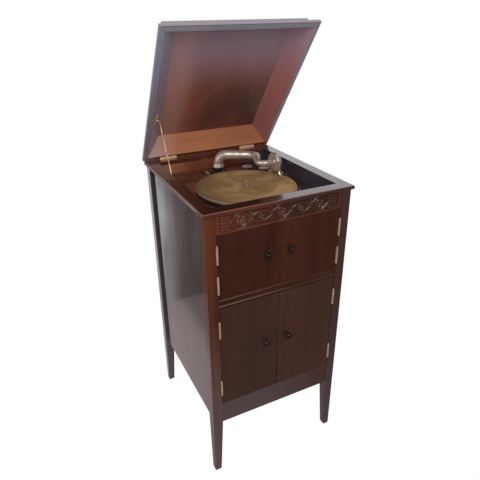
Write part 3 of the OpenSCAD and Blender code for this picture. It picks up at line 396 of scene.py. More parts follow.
def both(one, other):
    """The product of two masks."""
    return lambda *place: times(one(*place), other(*place))


def along(axis, start, end, most):
    """A mask that rises from nothing at one place on an axis of the object, X, Y or Z, to its most at another."""
    return lambda *place: ramp(place["XYZ".index(axis)], start, end, 0.0, most)


def cloud(x, y, z):
    """The dark cloud in the panel's lower right half."""
    low = times(ramp(x, -0.1, 0.0), ramp(z, 1.22, 1.06))
    return times(low, ramp(noise(place_on(x.id_data), 7.0, 3.0), 0.3, 0.6, 0.5, 1.0))


def inside(mask_of):
    """Keeps a mask of the lid's panel to its inner face, by the direction that face has in the panel's own space."""
    inward = Matrix.Rotation(radians(-LID_OPEN), 3, "X") @ Vector((0, 0, -1))

    def masked(*place):
        tree = tree_of(*place)
        facing = add(tree, "VectorMath", operation="DOT_PRODUCT")
        join(add(tree, "TexCoord").outputs["Normal"], facing.inputs[0])
        fill(facing.inputs[1], inward)
        return times(mask_of(*place), ramp(facing.outputs["Value"], 0.2, 0.5))

    return masked


# %% Lay the tints
# Colours of painted reflection and painted light on the lid
BLUISH, ROSY, REFLECTED_GREY = (154, 156, 184), (193, 132, 134), (138, 130, 144)
TINTS = [
    # Painted reflection tints the lid grey-blue along its edge, its left and its top, the rear slope paler and the
    # panel lighter on their left, and the rear posts grey on the left; painted light makes the lid's right side
    # rosier. The rear slope is more orange to the right, and the panel has a dark cloud low on the right
    (wood_lid_front, along("Z", 0.9, 0.96, 0.72), (166, 162, 174)),
    (wood_lid_edge, along("Z", 0.9, 0.96, 0.75), REFLECTED_GREY),
    (wood_lid_edge, both(along("X", -0.17, -0.2, 1.0), along("Z", 0.95, 0.92, 0.75)), REFLECTED_GREY),
    (wood_lid_edge, along("Z", 1.0, 1.25, 0.45), (143, 158, 176)),
    (wood_lid_side, along("X", 0.0, -0.17, 0.75), BLUISH),
    (wood_lid_side, along("Z", 1.12, 1.27, 0.6), BLUISH),
    (wood_lid_side, along("X", 0.0, 0.17, 0.42), ROSY),
    (wood_lid_rear, along("X", -0.1, -0.19, 0.5), (205, 186, 190)),
    (wood_lid_rear, along("X", -0.06, 0.12, 0.4), (156, 88, 60)),
    (wood_panel, inside(along("Z", 1.09, 1.27, 0.8)), (156, 134, 154)),
    (wood_panel, inside(along("X", -0.07, -0.13, 0.55)), (190, 146, 138)),
    (wood_panel, inside(cloud), (100, 62, 56)),
    (wood_rear_posts, along("X", 0.0, -0.1, 0.65), (86, 82, 90)),
    # The posts are more orange high up and greyer low down, and the apron greyer on the left; painted shade darkens
    # the posts, the carving and the rim's outer faces towards the right, away from the lamps, and painted light
    # brightens the carving's left
    (wood_posts, along("Z", 0.55, 0.8, 0.45), (92, 40, 18)),
    (wood_posts, along("Z", 0.62, 0.2, 0.55), (106, 90, 96)),
    (wood_posts, along("X", 0.0, 0.2, 0.7), (54, 45, 48)),
    (wood_apron, along("X", 0.3, -0.1, 0.5), (104, 94, 98)),
    (wood_carved, along("X", -0.12, 0.05, 0.45), (46, 26, 22)),
    (wood_carved, along("X", -0.05, -0.19, 0.3), (128, 58, 32)),
    (wood_rails, lit_bead_tops, (146, 100, 86)),
    (wood_rim_edge, along("X", -0.15, 0.1, 0.8), (62, 42, 40)),
    (wood_rim_highlight, along("X", -0.1, 0.15, 0.7), (96, 70, 66)),
    # A painted reflection greys the rim's top on the right, and painted light lifts its back out of the shade
    (wood_rim, along("X", 0.15, 0.18, 0.8), (58, 58, 68)),
    (wood_rim, along("Y", 0.2, 0.23, 0.85), (140, 76, 58)),
    # Painted light and shade in the well: the lining is painted redder at the back and lighter on the left, grey at
    # the far left as a painted reflection and nearly black on the right as painted shade; the board is painted darker
    # on the left, at the front under the platter and on the right, as painted shade
    (wood_lining, along("Y", 0.1, 0.2, 0.5), (150, 84, 58)),
    (wood_lining, along("X", -0.06, -0.17, 0.5), (186, 136, 110)),
    (wood_lining, along("X", -0.17, -0.19, 0.4), (124, 110, 128)),
    (wood_lining, along("X", 0.08, 0.18, 0.95), (62, 62, 72)),
    (wood_board, along("X", -0.08, -0.17, 0.65), (44, 28, 28)),
    (wood_board, along("Y", 0.05, -0.15, 0.6), (30, 16, 12)),
    (wood_board, along("X", 0.02, 0.13, 0.85), (46, 40, 44)),
]
for wood, mask_of, colour in TINTS:
    tinted(wood, mask_of, colour)
print(sum(m.name.startswith("mahogany") for m in bpy.data.materials), "kinds of mahogany")

# %% [markdown]
# ## Metals
#
# The tonearm is nickel plate: metal of a warm grey, polished, with small dull clouds where the plate has aged.
# The hinges are lacquered brass, and on the stay hands have rubbed the lacquer off. All metals are one function with
# different colours, because the real difference between them is only the metal's colour and how dull it has gone.
# Black enamel and the ebonised grips are dusty or polished coats, each over a dark ground of its own.

# %% Nickel, brass and steel
def metal(name, colour, dull, low, high, speck=0.5, metallic=1.0):
    """A metal with dull clouds and specks of age, whose roughness runs from low to high with the clouds."""
    made, tree, shader = new_material(name, Metallic=metallic)
    where = place_on(tree)
    clouds = ramp(noise(where, 45.0, 5.0, 0.4), 0.42, 0.68)
    specks = ramp(noise(where, 420.0, 2.0), 0.62, 0.7)
    aged = plus(times(clouds, 0.6), times(specks, speck), clamp=True)
    feed(shader, Base_Color=blend_colours(aged, rgb(*colour), rgb(*dull)), Roughness=ramp(clouds, 0.0, 1.0, low, high))
    roughen(shader, noise(where, 700.0, 3.0), 0.08, 0.0001)
    return made


nickel = metal("nickel plate", (214, 202, 194), (164, 148, 140), 0.36, 0.5, metallic=0.72)
dull_nickel = metal("dulled nickel", (176, 164, 140), (122, 108, 86), 0.4, 0.55, metallic=0.7)
polished = metal("polished nickel", (222, 216, 212), (156, 148, 142), 0.14, 0.28, metallic=0.8)
brass = metal("lacquered brass", (250, 226, 194), (212, 176, 136), 0.3, 0.46, metallic=0.65)
rosy = metal("rubbed brass", (206, 164, 136), (150, 112, 90), 0.28, 0.46)
steel = metal("turned steel", (196, 194, 190), (120, 116, 112), 0.25, 0.45)
sheet_metal = metal("diaphragm sheet", (206, 202, 192), (150, 146, 138), 0.3, 0.45, 0.2)
print("metals ready")

# %% Black enamel and dark polished grips
enamel, tree, shader = new_material("black enamel", Specular_IOR_Level=0.5, Coat_Weight=0.4)
where = place_on(tree)
dusty = ramp(noise(where, 160.0, 4.0), 0.5, 0.75)
feed(shader, Base_Color=blend_colours(dusty, rgb(20, 19, 18), rgb(44, 42, 39)),
     Roughness=ramp(noise(where, 60.0, 4.0), 0.3, 0.7, 0.18, 0.42))

ebony, tree, shader = new_material("ebonised wood", Specular_IOR_Level=0.35, Coat_Weight=0.35)
where = place_on(tree)
black_wood = place_group(grain, stretch(where, turn=FORE_AND_AFT),
                         Deep=rgb(20, 9, 7), Ground=rgb(38, 20, 16), Light=rgb(58, 32, 25))
feed(shader, Base_Color=black_wood["Color"],
     Roughness=ramp(noise(where, 90.0, 3.0), 0.3, 0.7, 0.16, 0.34))
print("enamel and ebony ready")

# %% [markdown]
# ## Finishes on the CAD nodes
#
# A CAD node whose shape is right stays as it is and gets its finish through its material slot. A table says which
# nodes share a finish.

# %% Give every node its finish
FINISHES = {
    wood_posts: "front_posts", wood_rear_posts: "rear_posts", wood_apron: "apron_rail",
    wood_sides: "side_panel_left side_panel_right back_panel", wood_rim: "rim_moulding",
    wood_lining: "well_lining", wood_carved: "frieze_rail", wood_rails: "mid_rail",
    wood_inner: "bottom_board shelf_board record_dividers horn platter_felt",
    wood_board: "motor_board", wood_lid: "lid_frame", wood_panel: "lid_panel",
    wood_doors: "upper_left_door upper_right_door", wood_low_doors: "lower_left_door lower_right_door",
    enamel: "horn_throat tonearm_base speed_dial motor_frame", rosy: "lid_stay", dull_nickel: "platter",
    brass: "cabinet_hinge_leaves lid_hinge_frame_leaves lid_hinge_lid_leaves stay_track stay_bracket crank_escutcheon "
           "governor upper_left_hinges upper_right_hinges lower_left_hinges lower_right_hinges",
    nickel: "needle_cups board_screws brake_bracket tonearm_tube gooseneck speed_lever brake_lever",
    polished: "soundbox crank spindle stylus_bar", steel: "needle winding_gear spring_barrel",
    ebony: "crank_handle upper_left_knob upper_right_knob lower_left_knob lower_right_knob",
    sheet_metal: "soundbox_diaphragm",
}
FINISH = {name: finish for finish, names in FINISHES.items() for name in names.split()}
for name, piece in nodes.items():
    give(piece, FINISH[name])
print("finishes on", len(nodes), "nodes")

# %% [markdown]
# ## The carved rail
#
# Under the rim runs a guilloche: two ribbons that cross and part again round five flowers, with leaves in the
# corners and reeded ends. A carver cuts it into one board, sinking the ground and leaving the pattern standing. A
# grid of points whose depth follows one height function is the nearest thing to that: every form melts into its
# neighbour, as it does under a gouge, and nothing is stuck on.
#
# The hollows are painted darker and the ridges lighter: painted shade and highlight that deepen the relief, together
# with stain gathered in the hollows and wear on the ridges. Each point of the grid keeps how far it stands out as an
# attribute of the mesh, `standing`, and the wood reads that attribute to darken the one and lighten the other.

# %% Measures of the carving, in millimetres
rail_low, rail_high = (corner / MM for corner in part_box("frieze_rail"))
PITCH, SWING, PEAK, SUNK, GRID = 59.5, 18.2, 3.4, 3.5, 0.5
MIDDLE = (rail_low.z + rail_high.z) / 2
FIELD_X, FIELD_Z = rail_high.x - 9, (rail_low.z + 4, rail_high.z - 3)
print("rail", [round(v, 1) for v in rail_high - rail_low], "mm, one repeat", PITCH)


# %% Ridges, flowers and leaves
def mound(distance, half_width, height):
    """A half-round ridge: its height at a distance from its middle line."""
    return height * np.sqrt(np.clip(1 - (distance / half_width) ** 2, 0, None))


def flower(across, upward, radius, petals):
    """A ring, hollowed petals with a crease in each, and a boss."""
    out_from, turn = np.hypot(across, upward), np.arctan2(upward, across)
    ring = mound(out_from - radius + 1.3, radius * 0.07 + 0.7, 2.9)
    lobe = np.abs(np.cos(petals * turn / 2 + pi / 4))
    petal = mound(out_from - radius * 0.55, radius * 0.3, 2.7) * (0.25 + 0.75 * lobe**0.7)
    petal -= 0.7 * np.exp(-((1 - lobe) / 0.012)) * (petal > 0.5)
    boss = mound(out_from, radius * 0.25, 3.3) - 0.8 * np.exp(-((out_from / (radius * 0.07)) ** 2))
    return np.maximum.reduce([ring, petal, boss])


def leaf(across, upward, length, width, lean):
    """A pointed leaf with a midrib and side veins, growing from the origin and leaning by an angle."""
    along = upward * cos(lean) + across * sin(lean)
    beside = across * cos(lean) - upward * sin(lean)
    share = np.clip(along / length, 0, 1)
    half = np.maximum(width * np.sin(pi * share**0.8) ** 0.8, 1e-3)
    blade = 2.4 * np.clip(1 - np.abs(beside / half) ** 1.6, 0, None) * ((along > 0) & (along < length))
    veins = 0.25 * np.cos(2 * pi * (along - 0.8 * np.abs(beside)) / 2.6) * (blade > 0.4)
    return blade - 0.7 * np.exp(-((beside / 0.45) ** 2)) * (blade > 0.4) + veins


# %% The whole pattern
def carving(x, z):
    """How high the carving stands over its ground, at points in millimetres: the highest of all its forms."""
    up_from = z - MIDDLE
    end = 2.5 * PITCH
    wave = np.cos(np.pi * x / PITCH)
    middle_line = (SWING + PEAK * wave) * wave
    slope = -np.pi / PITCH * np.sin(np.pi * x / PITCH) * (SWING + 2 * PEAK * wave)
    crossing = np.cos(2 * np.pi * (x / PITCH - 0.5)) ** 9 * np.sign(np.sin(np.pi * x / PITCH))
    forms = []
    for sign in (1, -1):
        distance = (up_from - sign * middle_line) / np.sqrt(1 + slope**2)
        band = mound(distance, 2.4, 2.5) - 0.7 * np.exp(-((distance / 0.5) ** 2)) * (np.abs(distance) < 1.6)
        forms.append(band * (1 + 0.28 * sign * crossing) * (np.abs(x) < end))
    for k in range(-2, 3):
        radius, petals = (15.0, 8) if k % 2 == 0 else (9.5, 6)
        forms.append(flower(x - k * PITCH, up_from, radius, petals))
    for k in (-2, -1, 0, 1):
        for sign in (1, -1):
            for shift, lean, length, width in ((0, 0.0, 16.5, 3.3), (1.5, 0.75, 10.5, 2.3), (-1.5, -0.75, 10.5, 2.3)):
                forms.append(leaf(x - (k + 0.5) * PITCH - shift, sign * up_from - 4.5, length, width, lean))
    for row in range(-2, 3):
        past = np.clip(np.abs(x) - (end + 22), 0, None) + np.clip(end + 3 - np.abs(x), 0, None)
        forms.append(mound(np.hypot(up_from - 8.6 * row, past), 3.5, 2.6))
    forms.append(mound(np.abs(x) - (end + 28), 1.5, 2.2))
    relief = np.maximum.reduce(forms)
    ground = 0.16 * np.sin(2 * np.pi * x / 1.7) * np.sin(2 * np.pi * z / 1.7) * (relief < 0.15)
    from_edge = np.minimum.reduce([FIELD_X - np.abs(x), z - FIELD_Z[0], FIELD_Z[1] - z])
    wall = np.clip(from_edge / 0.9, 0, 1)
    return SUNK * (1 - wall) + wall * np.minimum(relief + ground, SUNK - 0.1)


# %% A board from a grid of depths
def closed_board(name, depth_at, low, high, step):
    """A board whose front is a grid that depth_at(x, z) sinks, closed by flat sides and a back."""
    xs = np.linspace(low.x, high.x, round((high.x - low.x) / step) + 1)
    zs = np.linspace(low.z, high.z, round((high.z - low.z) / step) + 1)
    across, upward = (grid.ravel() for grid in np.meshgrid(xs, zs))
    depth = depth_at(across, upward)
    front = np.column_stack([across, low.y + depth, upward]) * MM
    wide, tall = len(xs), len(zs)

    def spot(column, row):
        return row * wide + column

    faces = [(spot(i, j), spot(i + 1, j), spot(i + 1, j + 1), spot(i, j + 1))
             for j in range(tall - 1) for i in range(wide - 1)]
    smooth = len(faces)
    corners = (low.x, low.z), (high.x, low.z), (high.x, high.z), (low.x, high.z)
    behind = np.array([(x, high.y, z) for x, z in corners]) * MM
    b = len(front)
    faces.append([spot(i, 0) for i in range(wide - 1, -1, -1)] + [b, b + 1])
    faces.append([spot(wide - 1, j) for j in range(tall - 1, -1, -1)] + [b + 1, b + 2])
    faces.append([spot(i, tall - 1) for i in range(wide)] + [b + 2, b + 3])
    faces.append([spot(0, j) for j in range(tall)] + [b + 3, b])
    faces.append([b + 3, b + 2, b + 1, b])
    mesh = bpy.data.meshes.new(name)
    mesh.from_pydata(np.vstack([front, behind]).tolist(), [], faces)
    mesh.polygons.foreach_set("use_smooth", [k < smooth for k in range(len(faces))])
    standing = mesh.attributes.new("standing", "FLOAT", "POINT")
    standing.data.foreach_set("value", np.append(1 - depth / SUNK, np.zeros(len(corners))))
    return new_object(name, mesh)


# %% Carve it, and paint its stain, shade and highlights
carved_rail = closed_board("carved_rail", lambda x, z: SUNK - carving(x, z), rail_low, rail_high, GRID)


def by_height(low, high, to_low, to_high):
    """A mask that follows how far the carving stands out of its ground."""
    return lambda *place: ramp(add(tree_of(*place), "Attribute", attribute_name="standing").outputs["Fac"],
                               low, high, to_low, to_high)


# Painted shade in the hollows and a painted highlight on the ridges, partly stain and wear
tinted(wood_carved, by_height(0.0, 0.4, 0.4, 0.0), (34, 15, 11))
tinted(wood_carved, by_height(0.5, 0.8, 0.0, 0.16), (124, 72, 50))
give(carved_rail, wood_carved)
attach(carved_rail, "cabinet")
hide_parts("frieze_rail")
print("carved rail:", len(carved_rail.data.polygons), "faces")

# %% [markdown]
# ## The felt
#
# The turntable wears a disc of tan felt, glued down, a little over a millimetre thick. Records have rubbed arcs
# into it. The cloth's body is a ring with a soft rolled edge and a slightly uneven top; the rubbed arcs are colour
# alone, so they are noise that is read in turns round the spindle.

# %% Felt: the cloth
felt_low, felt_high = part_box("platter_felt")
SPINDLE = (felt_low + felt_high) / 2
FELT_T, FELT_R, FELT_HOLE = felt_high.z - felt_low.z, (felt_high.x - felt_low.x) / 2, 0.008


def turned(name, profile, centre, segments, uneven):
    """A closed solid of revolution about Z from (radius, height) points, listed round the section."""
    chance = np.random.default_rng(1)
    bm = bmesh.new()
    loops = []
    for radius, height in profile:
        ring = []
        for k in range(segments):
            turn = 2 * pi * k / segments
            rise = uneven * chance.uniform(-1, 1)
            x, y = centre.x + radius * cos(turn), centre.y + radius * sin(turn)
            ring.append(bm.verts.new((x, y, height + rise)))
        loops.append(ring)
    for a, b in zip(loops, loops[1:] + loops[:1]):
        for k in range(segments):
            bm.faces.new((a[k - 1], a[k], b[k], b[k - 1])).smooth = True
    bmesh.ops.recalc_face_normals(bm, faces=bm.faces)
    return object_of(bm, name)


low, top = felt_low.z, felt_high.z
UNEVEN, UNDER_TOP = 0.00005, 0.00006
hole = [(FELT_HOLE, low), (FELT_HOLE, low + FELT_T * 0.6)]
level = [(r, top - UNDER_TOP) for r in np.linspace(FELT_HOLE + 0.001, FELT_R - 0.003, 46)]
rolled = [(FELT_R - 0.0016, top - UNDER_TOP), (FELT_R - 0.0007, top - 0.0003),
          (FELT_R - 0.0001, low + FELT_T * 0.45), (FELT_R - 0.0001, low)]
turntable_felt = turned("turntable_felt", hole + level + rolled, SPINDLE, 160, UNEVEN)

# %% Felt: colour, nap and rubbed arcs
felt_cloth, tree, shader = new_material(
    "tan felt", Roughness=0.95, Specular_IOR_Level=0.1, Sheen_Weight=0.05, Sheen_Roughness=0.6
)
where = place_on(tree)
x, y, _ = split(stretch(where, place=(-SPINDLE.x, -SPINDLE.y, 0)))
distance = maths("SQRT", plus(maths("POWER", x, 2.0), maths("POWER", y, 2.0)))
angle = maths("ARCTAN2", y, x)
round_spindle = combine(X=times(distance, 7.0), Y=times(maths("SINE", angle), 0.16),
                        Z=times(maths("COSINE", angle), 0.16))
arcs = ramp(noise(round_spindle, 5.5, 4.0, 0.3), 0.4, 0.64)
stains = ramp(noise(where, 9.0, 5.0, 0.8), 0.36, 0.66)
nap = noise(where, 900.0, 3.0)
cloth = blend_colours(stains, rgb(148, 111, 66), rgb(184, 148, 98))
# Painted shade darkens the felt towards the left; then come the rubbed arcs and the nap
for share, colour in ((ramp(x, -0.03, -0.14, 0.0, 0.65), (94, 66, 44)), (times(arcs, 0.35), (112, 82, 50)),
                      (ramp(nap, 0.3, 0.7, 0.0, 0.2), (92, 70, 42))):
    cloth = blend_colours(share, cloth, rgb(*colour))
feed(shader, Base_Color=cloth)
roughen(shader, nap, 0.35, 0.0004)
give(turntable_felt, felt_cloth)
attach(turntable_felt, "turntable")
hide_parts("platter_felt")
print("felt:", len(turntable_felt.data.polygons), "faces")

# %% [markdown]
# ## Eased edges
#
# A joiner takes the sharp corner off every board with a few strokes of glass paper, and that small round is what
# catches the light along an edge. The CAD boards are sharp. A copy of each visible board gets its edges rounded
# with a Bevel modifier; the copy's triangles are first merged and its flat faces made whole, so that only true
# edges are cut.

# %% Woods by face
def lid_woods(face):
    """A face's wood, lit and shaded copies picked by the way it turns: 1 on the side slopes, 2 on the rear slope, 3 on
    the rim round them, 4 in front, 0 elsewhere.
    """
    leaning = Matrix.Rotation(radians(LID_OPEN), 3, "X") @ face.normal
    if leaning.y < -0.6 and leaning.z > -0.8 and face.center.z > 1.1:
        return 4
    if leaning.z < -0.95:
        return 3
    if leaning.z > -0.3:
        return 0
    if abs(leaning.x) > 0.3:
        return 1 if leaning.x * face.center.x < 0 else 3
    return 2 if leaning.y < -0.3 and face.center.z < 1.0 else 0


def rim_woods(face):
    """A face's wood: 0, dark, on the rim's top and inside, 1 on its outer faces, painted lighter, 2 on their upper
    edge, a painted highlight.
    """
    outward = face.normal.x * face.center.x + face.normal.y * face.center.y > 0
    if face.normal.z > 0.97 or not outward:
        return 0
    return 2 if face.normal.z > 0.2 else 1


# %% A board with eased edges
FLAT_WITHIN, TRUE_EDGE = radians(0.5), radians(38)


def eased(name, width, body):
    """A copy of a CAD board whose edges are rounded by that width."""
    bm = bmesh.new()
    bm.from_mesh(nodes[name].data)
    bmesh.ops.remove_doubles(bm, verts=bm.verts, dist=1e-6)
    bmesh.ops.dissolve_limit(bm, angle_limit=FLAT_WITHIN, verts=bm.verts, edges=bm.edges)
    weight = bm.edges.layers.float.new("bevel_weight_edge")
    for edge in bm.edges:
        at_hinge = name == "rim_moulding" and min(v.co.y for v in edge.verts) > RIM_REAR
        edge[weight] = float(edge.calc_face_angle(0.0) > TRUE_EDGE and not at_hinge)
    sharp = object_of(bm, "sharp")
    cut = sharp.modifiers.new("ease", "BEVEL")
    cut.width, cut.segments, cut.limit_method = width, 2, "WEIGHT"
    even = sharp.modifiers.new("even", "WEIGHTED_NORMAL")
    even.mode, even.weight, even.keep_sharp = "FACE_AREA", 100, True
    for face in sharp.data.polygons:
        face.use_smooth = True
    made = new_object(name + "_eased", finished_mesh(sharp))
    bpy.data.objects.remove(sharp)
    give(made, FINISH[name])
    if name in OTHER_WOODS:
        woods, wood_of = OTHER_WOODS[name]
        for wood in woods:
            made.data.materials.append(wood)
        for face in made.data.polygons:
            face.material_index = wood_of(face)
    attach(made, body)
    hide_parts(name)
    return made


# %% Round the edges of the boards
OTHER_WOODS = {
    "lid_frame": ((wood_lid_side, wood_lid_rear, wood_lid_edge, wood_lid_front), lid_woods),
    "rim_moulding": ((wood_rim_edge, wood_rim_highlight), rim_woods),
}
RIM_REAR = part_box("rim_moulding")[1].y - 0.0005
EASED = {
    "front_posts": (0.9, "cabinet"), "rear_posts": (0.9, "cabinet"), "apron_rail": (0.9, "cabinet"),
    "rim_moulding": (0.6, "cabinet"), "mid_rail": (0.4, "cabinet"), "lid_frame": (0.6, "lid"),
    "upper_left_door": (1.1, "upper_left_leaf"), "upper_right_door": (1.1, "upper_right_leaf"),
    "lower_left_door": (1.1, "lower_left_leaf"), "lower_right_door": (1.1, "lower_right_leaf"),
}
for name, (width, body) in EASED.items():
    made = eased(name, width * MM, body)
    print(made.name, len(made.data.polygons), "faces")

# %% A strip of baize along the hinges
# The lid leans on it when it is up and shuts on it when it is down, so no light comes through the joint.
STRIP_DEEP, STRIP_T, CORNER_IN, HINGE_LONG, CLEAR = 0.005, 0.0002, 0.004, 0.0575, 0.0005
rim_low, rim_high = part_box("rim_moulding")
leaf_low, leaf_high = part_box("lid_hinge_frame_leaves")
HINGE_IN = leaf_high.x - HINGE_LONG
between_hinges = ((rim_low.x + CORNER_IN, leaf_low.x - CLEAR), (-HINGE_IN, HINGE_IN),
                  (leaf_high.x + CLEAR, rim_high.x - CORNER_IN))
bm = bmesh.new()
for left, right in between_hinges:
    cube = bmesh.ops.create_cube(bm, size=1.0)["verts"]
    middle = Vector(((left + right) / 2, rim_high.y - STRIP_DEEP / 2, rim_high.z + STRIP_T / 2))
    for vertex in cube:
        vertex.co = middle + vertex.co * Vector((right - left, STRIP_DEEP, STRIP_T))
hinge_strip = object_of(bm, "hinge_strip")
baize, tree, shader = new_material("dark baize", Roughness=0.95, Specular_IOR_Level=0.1)
weave = noise(place_on(tree), 600.0, 3.0)
feed(shader, Base_Color=blend_colours(weave, rgb(58, 30, 24), rgb(92, 52, 42)))
give(hinge_strip, baize)
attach(hinge_strip, "cabinet")
print("strip at", round(rim_high.z, 4), "m, hinge leaves from", round(HINGE_IN, 4), "to", round(leaf_high.x, 4))

# %% [markdown]
# ## Screws, by Geometry Nodes
#
# Nearly eighty slotted screws hold the hinges, the stay, the escutcheon and the soundbox together. One head is
# modelled, and a node tree sets a copy on every point of a small mesh. It turns each to face along the point's own
# direction, scales it, and gives it a chance turn about its axis, because no screw ends where its neighbour does.
# Every body gets a piece of its own, so the screws of a door move with that door.

# %% One slotted screw head
def ring_of(count, radius, height, start=0.0, sweep=2 * pi, floor_y=None):
    """Points on a circle or an arc, held above floor_y, so that the arc's ends stay on the slot's edge."""
    steps = count if sweep == 2 * pi else count - 1
    turns = [start + sweep * k / steps for k in range(count)]
    points = [(radius * cos(turn), radius * sin(turn)) for turn in turns]
    return [(x, y if floor_y is None else max(y, floor_y), height) for x, y in points]


def shell(bm, rings):
    """A closed skin over rings of equal length, with a cap at each end."""
    loops = [[bm.verts.new(point) for point in ring] for ring in rings]
    for a, b in zip(loops, loops[1:]):
        for k in range(len(a)):
            bm.faces.new((a[k - 1], a[k], b[k], b[k - 1]))
    bm.faces.new(loops[0])
    bm.faces.new(loops[-1])


def screw_head():
    """A head of radius one that stands one high: a sunk cone, and a domed half moon on each side of the slot."""
    slot, sunk = 0.13, -1.2
    edge = asin(slot)
    bm = bmesh.new()
    shell(bm, [ring_of(28, 0.5, sunk), ring_of(28, 1.0, 0.0)])
    for side in (1, -1):
        arcs = [(1.0, -0.2), (1.0, 0.45), (0.9, 0.8), (0.72, 1.0)]
        rings = [ring_of(15, radius, height, edge, pi - 2 * edge, slot) for radius, height in arcs]
        shell(bm, [[(side * x, side * y, z) for x, y, z in ring] for ring in rings])
    bmesh.ops.recalc_face_normals(bm, faces=bm.faces)
    return object_of(bm, "screw head")


# %% The tree that sets screws on points
screws = bpy.data.node_groups.new("Screws", "GeometryNodeTree")
for label, kind in (("Geometry", "Geometry"), ("Screw", "Object"), ("Seed", "Int"), ("Finish", "Material")):
    screws.interface.new_socket(label, in_out="INPUT", socket_type="NodeSocket" + kind)
screws.interface.new_socket("Geometry", in_out="OUTPUT", socket_type="NodeSocketGeometry")
given, out = screws.nodes.new("NodeGroupInput").outputs, screws.nodes.new("NodeGroupOutput").inputs
facing, size = (
    add(screws, "GeometryNodeInputNamedAttribute", data_type="FLOAT_VECTOR", Name=name).outputs["Attribute"]
    for name in ("facing", "size")
)
aligned = add(screws, "FunctionNodeAlignRotationToVector", axis="Z")
chance = add(screws, "FunctionNodeRandomValue", data_type="FLOAT")
feed(aligned, Vector=facing)
feed(chance, Seed=given["Seed"])
twist = add(screws, "FunctionNodeAxisAngleToRotation")
feed(twist, Angle=times(next(o for o in chance.outputs if o.enabled), 2 * pi))
turned_in = add(screws, "FunctionNodeRotateRotation", rotation_space="LOCAL")
feed(turned_in, Rotation=aligned.outputs[0], Rotate_By=twist.outputs[0])
one_screw = add(screws, "GeometryNodeObjectInfo")
feed(one_screw, Object=given["Screw"])
placed = add(screws, "GeometryNodeInstanceOnPoints")
feed(placed, Points=given["Geometry"], Instance=one_screw.outputs["Geometry"],
     Rotation=turned_in.outputs[0], Scale=size)
real = add(screws, "GeometryNodeRealizeInstances")
painted = add(screws, "GeometryNodeSetMaterial")
feed(real, Geometry=placed.outputs[0])
feed(painted, Geometry=real.outputs[0], Material=given["Finish"])
join(painted.outputs[0], out[0])
print("screw tree:", len(screws.nodes), "nodes")


# %% Where the screws are
LID_HINGE = Vector((0, 247.5, 900.25))
OPENED = Matrix.Rotation(radians(-LID_OPEN), 4, "X")
LEAN = Matrix.Translation(LID_HINGE) @ OPENED @ Matrix.Translation(-LID_HINGE)
FLUSH, ROUND, BROAD, TINY = (1.9, 0.14), (2.9, 0.7), (2.6, 0.5), (1.0, 0.45)
drilled = {}


def drill(piece, body, place, facing, shape, finish=brass, slot="brass"):
    """Notes a screw for a piece: its place in millimetres, its direction, and (radius, height) of its head."""
    spots = drilled.setdefault(piece, (body, finish, slot, []))[-1]
    spots.append((Vector(place) * MM, Vector(facing), shape))


def drill_leaning(place, facing, shape, turn=LEAN):
    """A screw in the lid, placed as on a shut lid and then leaned back with it."""
    drill("lid_screws", "lid", turn @ Vector(place), turn.to_3x3() @ Vector(facing), shape)


# %% Screws of the lid's hinges
LID_SCREW_X, LID_SCREW_Y, LEAF_LONG, RIM_TOP, LID_FOOT = (-144, 144), 240.9, 56, 900.0, 900.5
for k in range(3):
    for x in LID_SCREW_X:
        across = x + (k - 1) * LEAF_LONG / 3
        drill("cabinet_screws", "cabinet", (across, LID_SCREW_Y, RIM_TOP), (0, 0, 1), FLUSH)
        drill_leaning((across, LID_SCREW_Y, LID_FOOT), (0, 0, -1), FLUSH)
print("screws in the lid:", len(drilled["lid_screws"][-1]))

# %% Screws of the doors' hinges
HINGE_LEVELS, HINGE_LEN, HINGE_Y, WELL_X, LEAF_GAP = (312, 521, 664, 754), 52, -243.1, 189.0, 0.4
for level, low_z in enumerate(HINGE_LEVELS):
    for k, deep in ((1, 6.5), (3, 12.5), (5, 6.5)):
        z = low_z + HINGE_LEN * k / 6
        for side, hand in ((-1, "left"), (1, "right")):
            door = ("lower_" if level < 2 else "upper_") + hand
            y, leaf_x = HINGE_Y + deep, WELL_X - LEAF_GAP
            drill("cabinet_screws", "cabinet", (side * WELL_X, y, z), (-side, 0, 0), FLUSH)
            drill(door + "_screws", door + "_leaf", (side * leaf_x, y, z), (side, 0, 0), FLUSH)
print("screws in each door:", len(drilled["upper_left_screws"][-1]))

# %% Screws of the stay and the escutcheon
track_low, track_high = (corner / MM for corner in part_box("stay_track"))
FROM_END, SEAT_IN = 5.5, 0.5
for y in (track_low.y + FROM_END, track_high.y - FROM_END):
    drill("cabinet_screws", "cabinet", (track_high.x - SEAT_IN, y, (track_low.z + track_high.z) / 2), (1, 0, 0), BROAD)
plate_low, plate_high = (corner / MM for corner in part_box("crank_escutcheon"))
plate_middle, PLATE_FACE, SCREW_RING = (plate_low + plate_high) / 2, plate_high.x - 3.4, 17
for k in range(3):
    a = radians(120 * k + 30)
    spot = PLATE_FACE, plate_middle.y + SCREW_RING * sin(a), plate_middle.z - SCREW_RING * cos(a)
    drill("cabinet_screws", "cabinet", spot, (1, 0, 0), ROUND)
# The bracket is 18 mm up on the lid's left slope, which starts 15 mm in from the side and rises 48 mm in 45 mm
RISE, RUN, LID_SIDE, SLOPE_IN, BRACKET_UP = 48, 45, -229, 15, 18
bracket_foot = Vector((LID_SIDE + SLOPE_IN + RUN * BRACKET_UP / RISE, 87.5, 918.5))
bracket = Matrix.Translation(bracket_foot) @ Matrix.Rotation(-atan2(RISE, RUN), 4, "Y")
for y in (-20, -11):
    drill_leaning((0, y, -1.6), (0, 0, -1), ROUND, LEAN @ bracket)
print("screws in the cabinet:", len(drilled["cabinet_screws"][-1]))

# %% The rim of the soundbox
def middle_of(name):
    """The mean of a node's points."""
    points = [v.co for v in nodes[name].data.vertices]
    return sum(points, Vector()) / len(points)


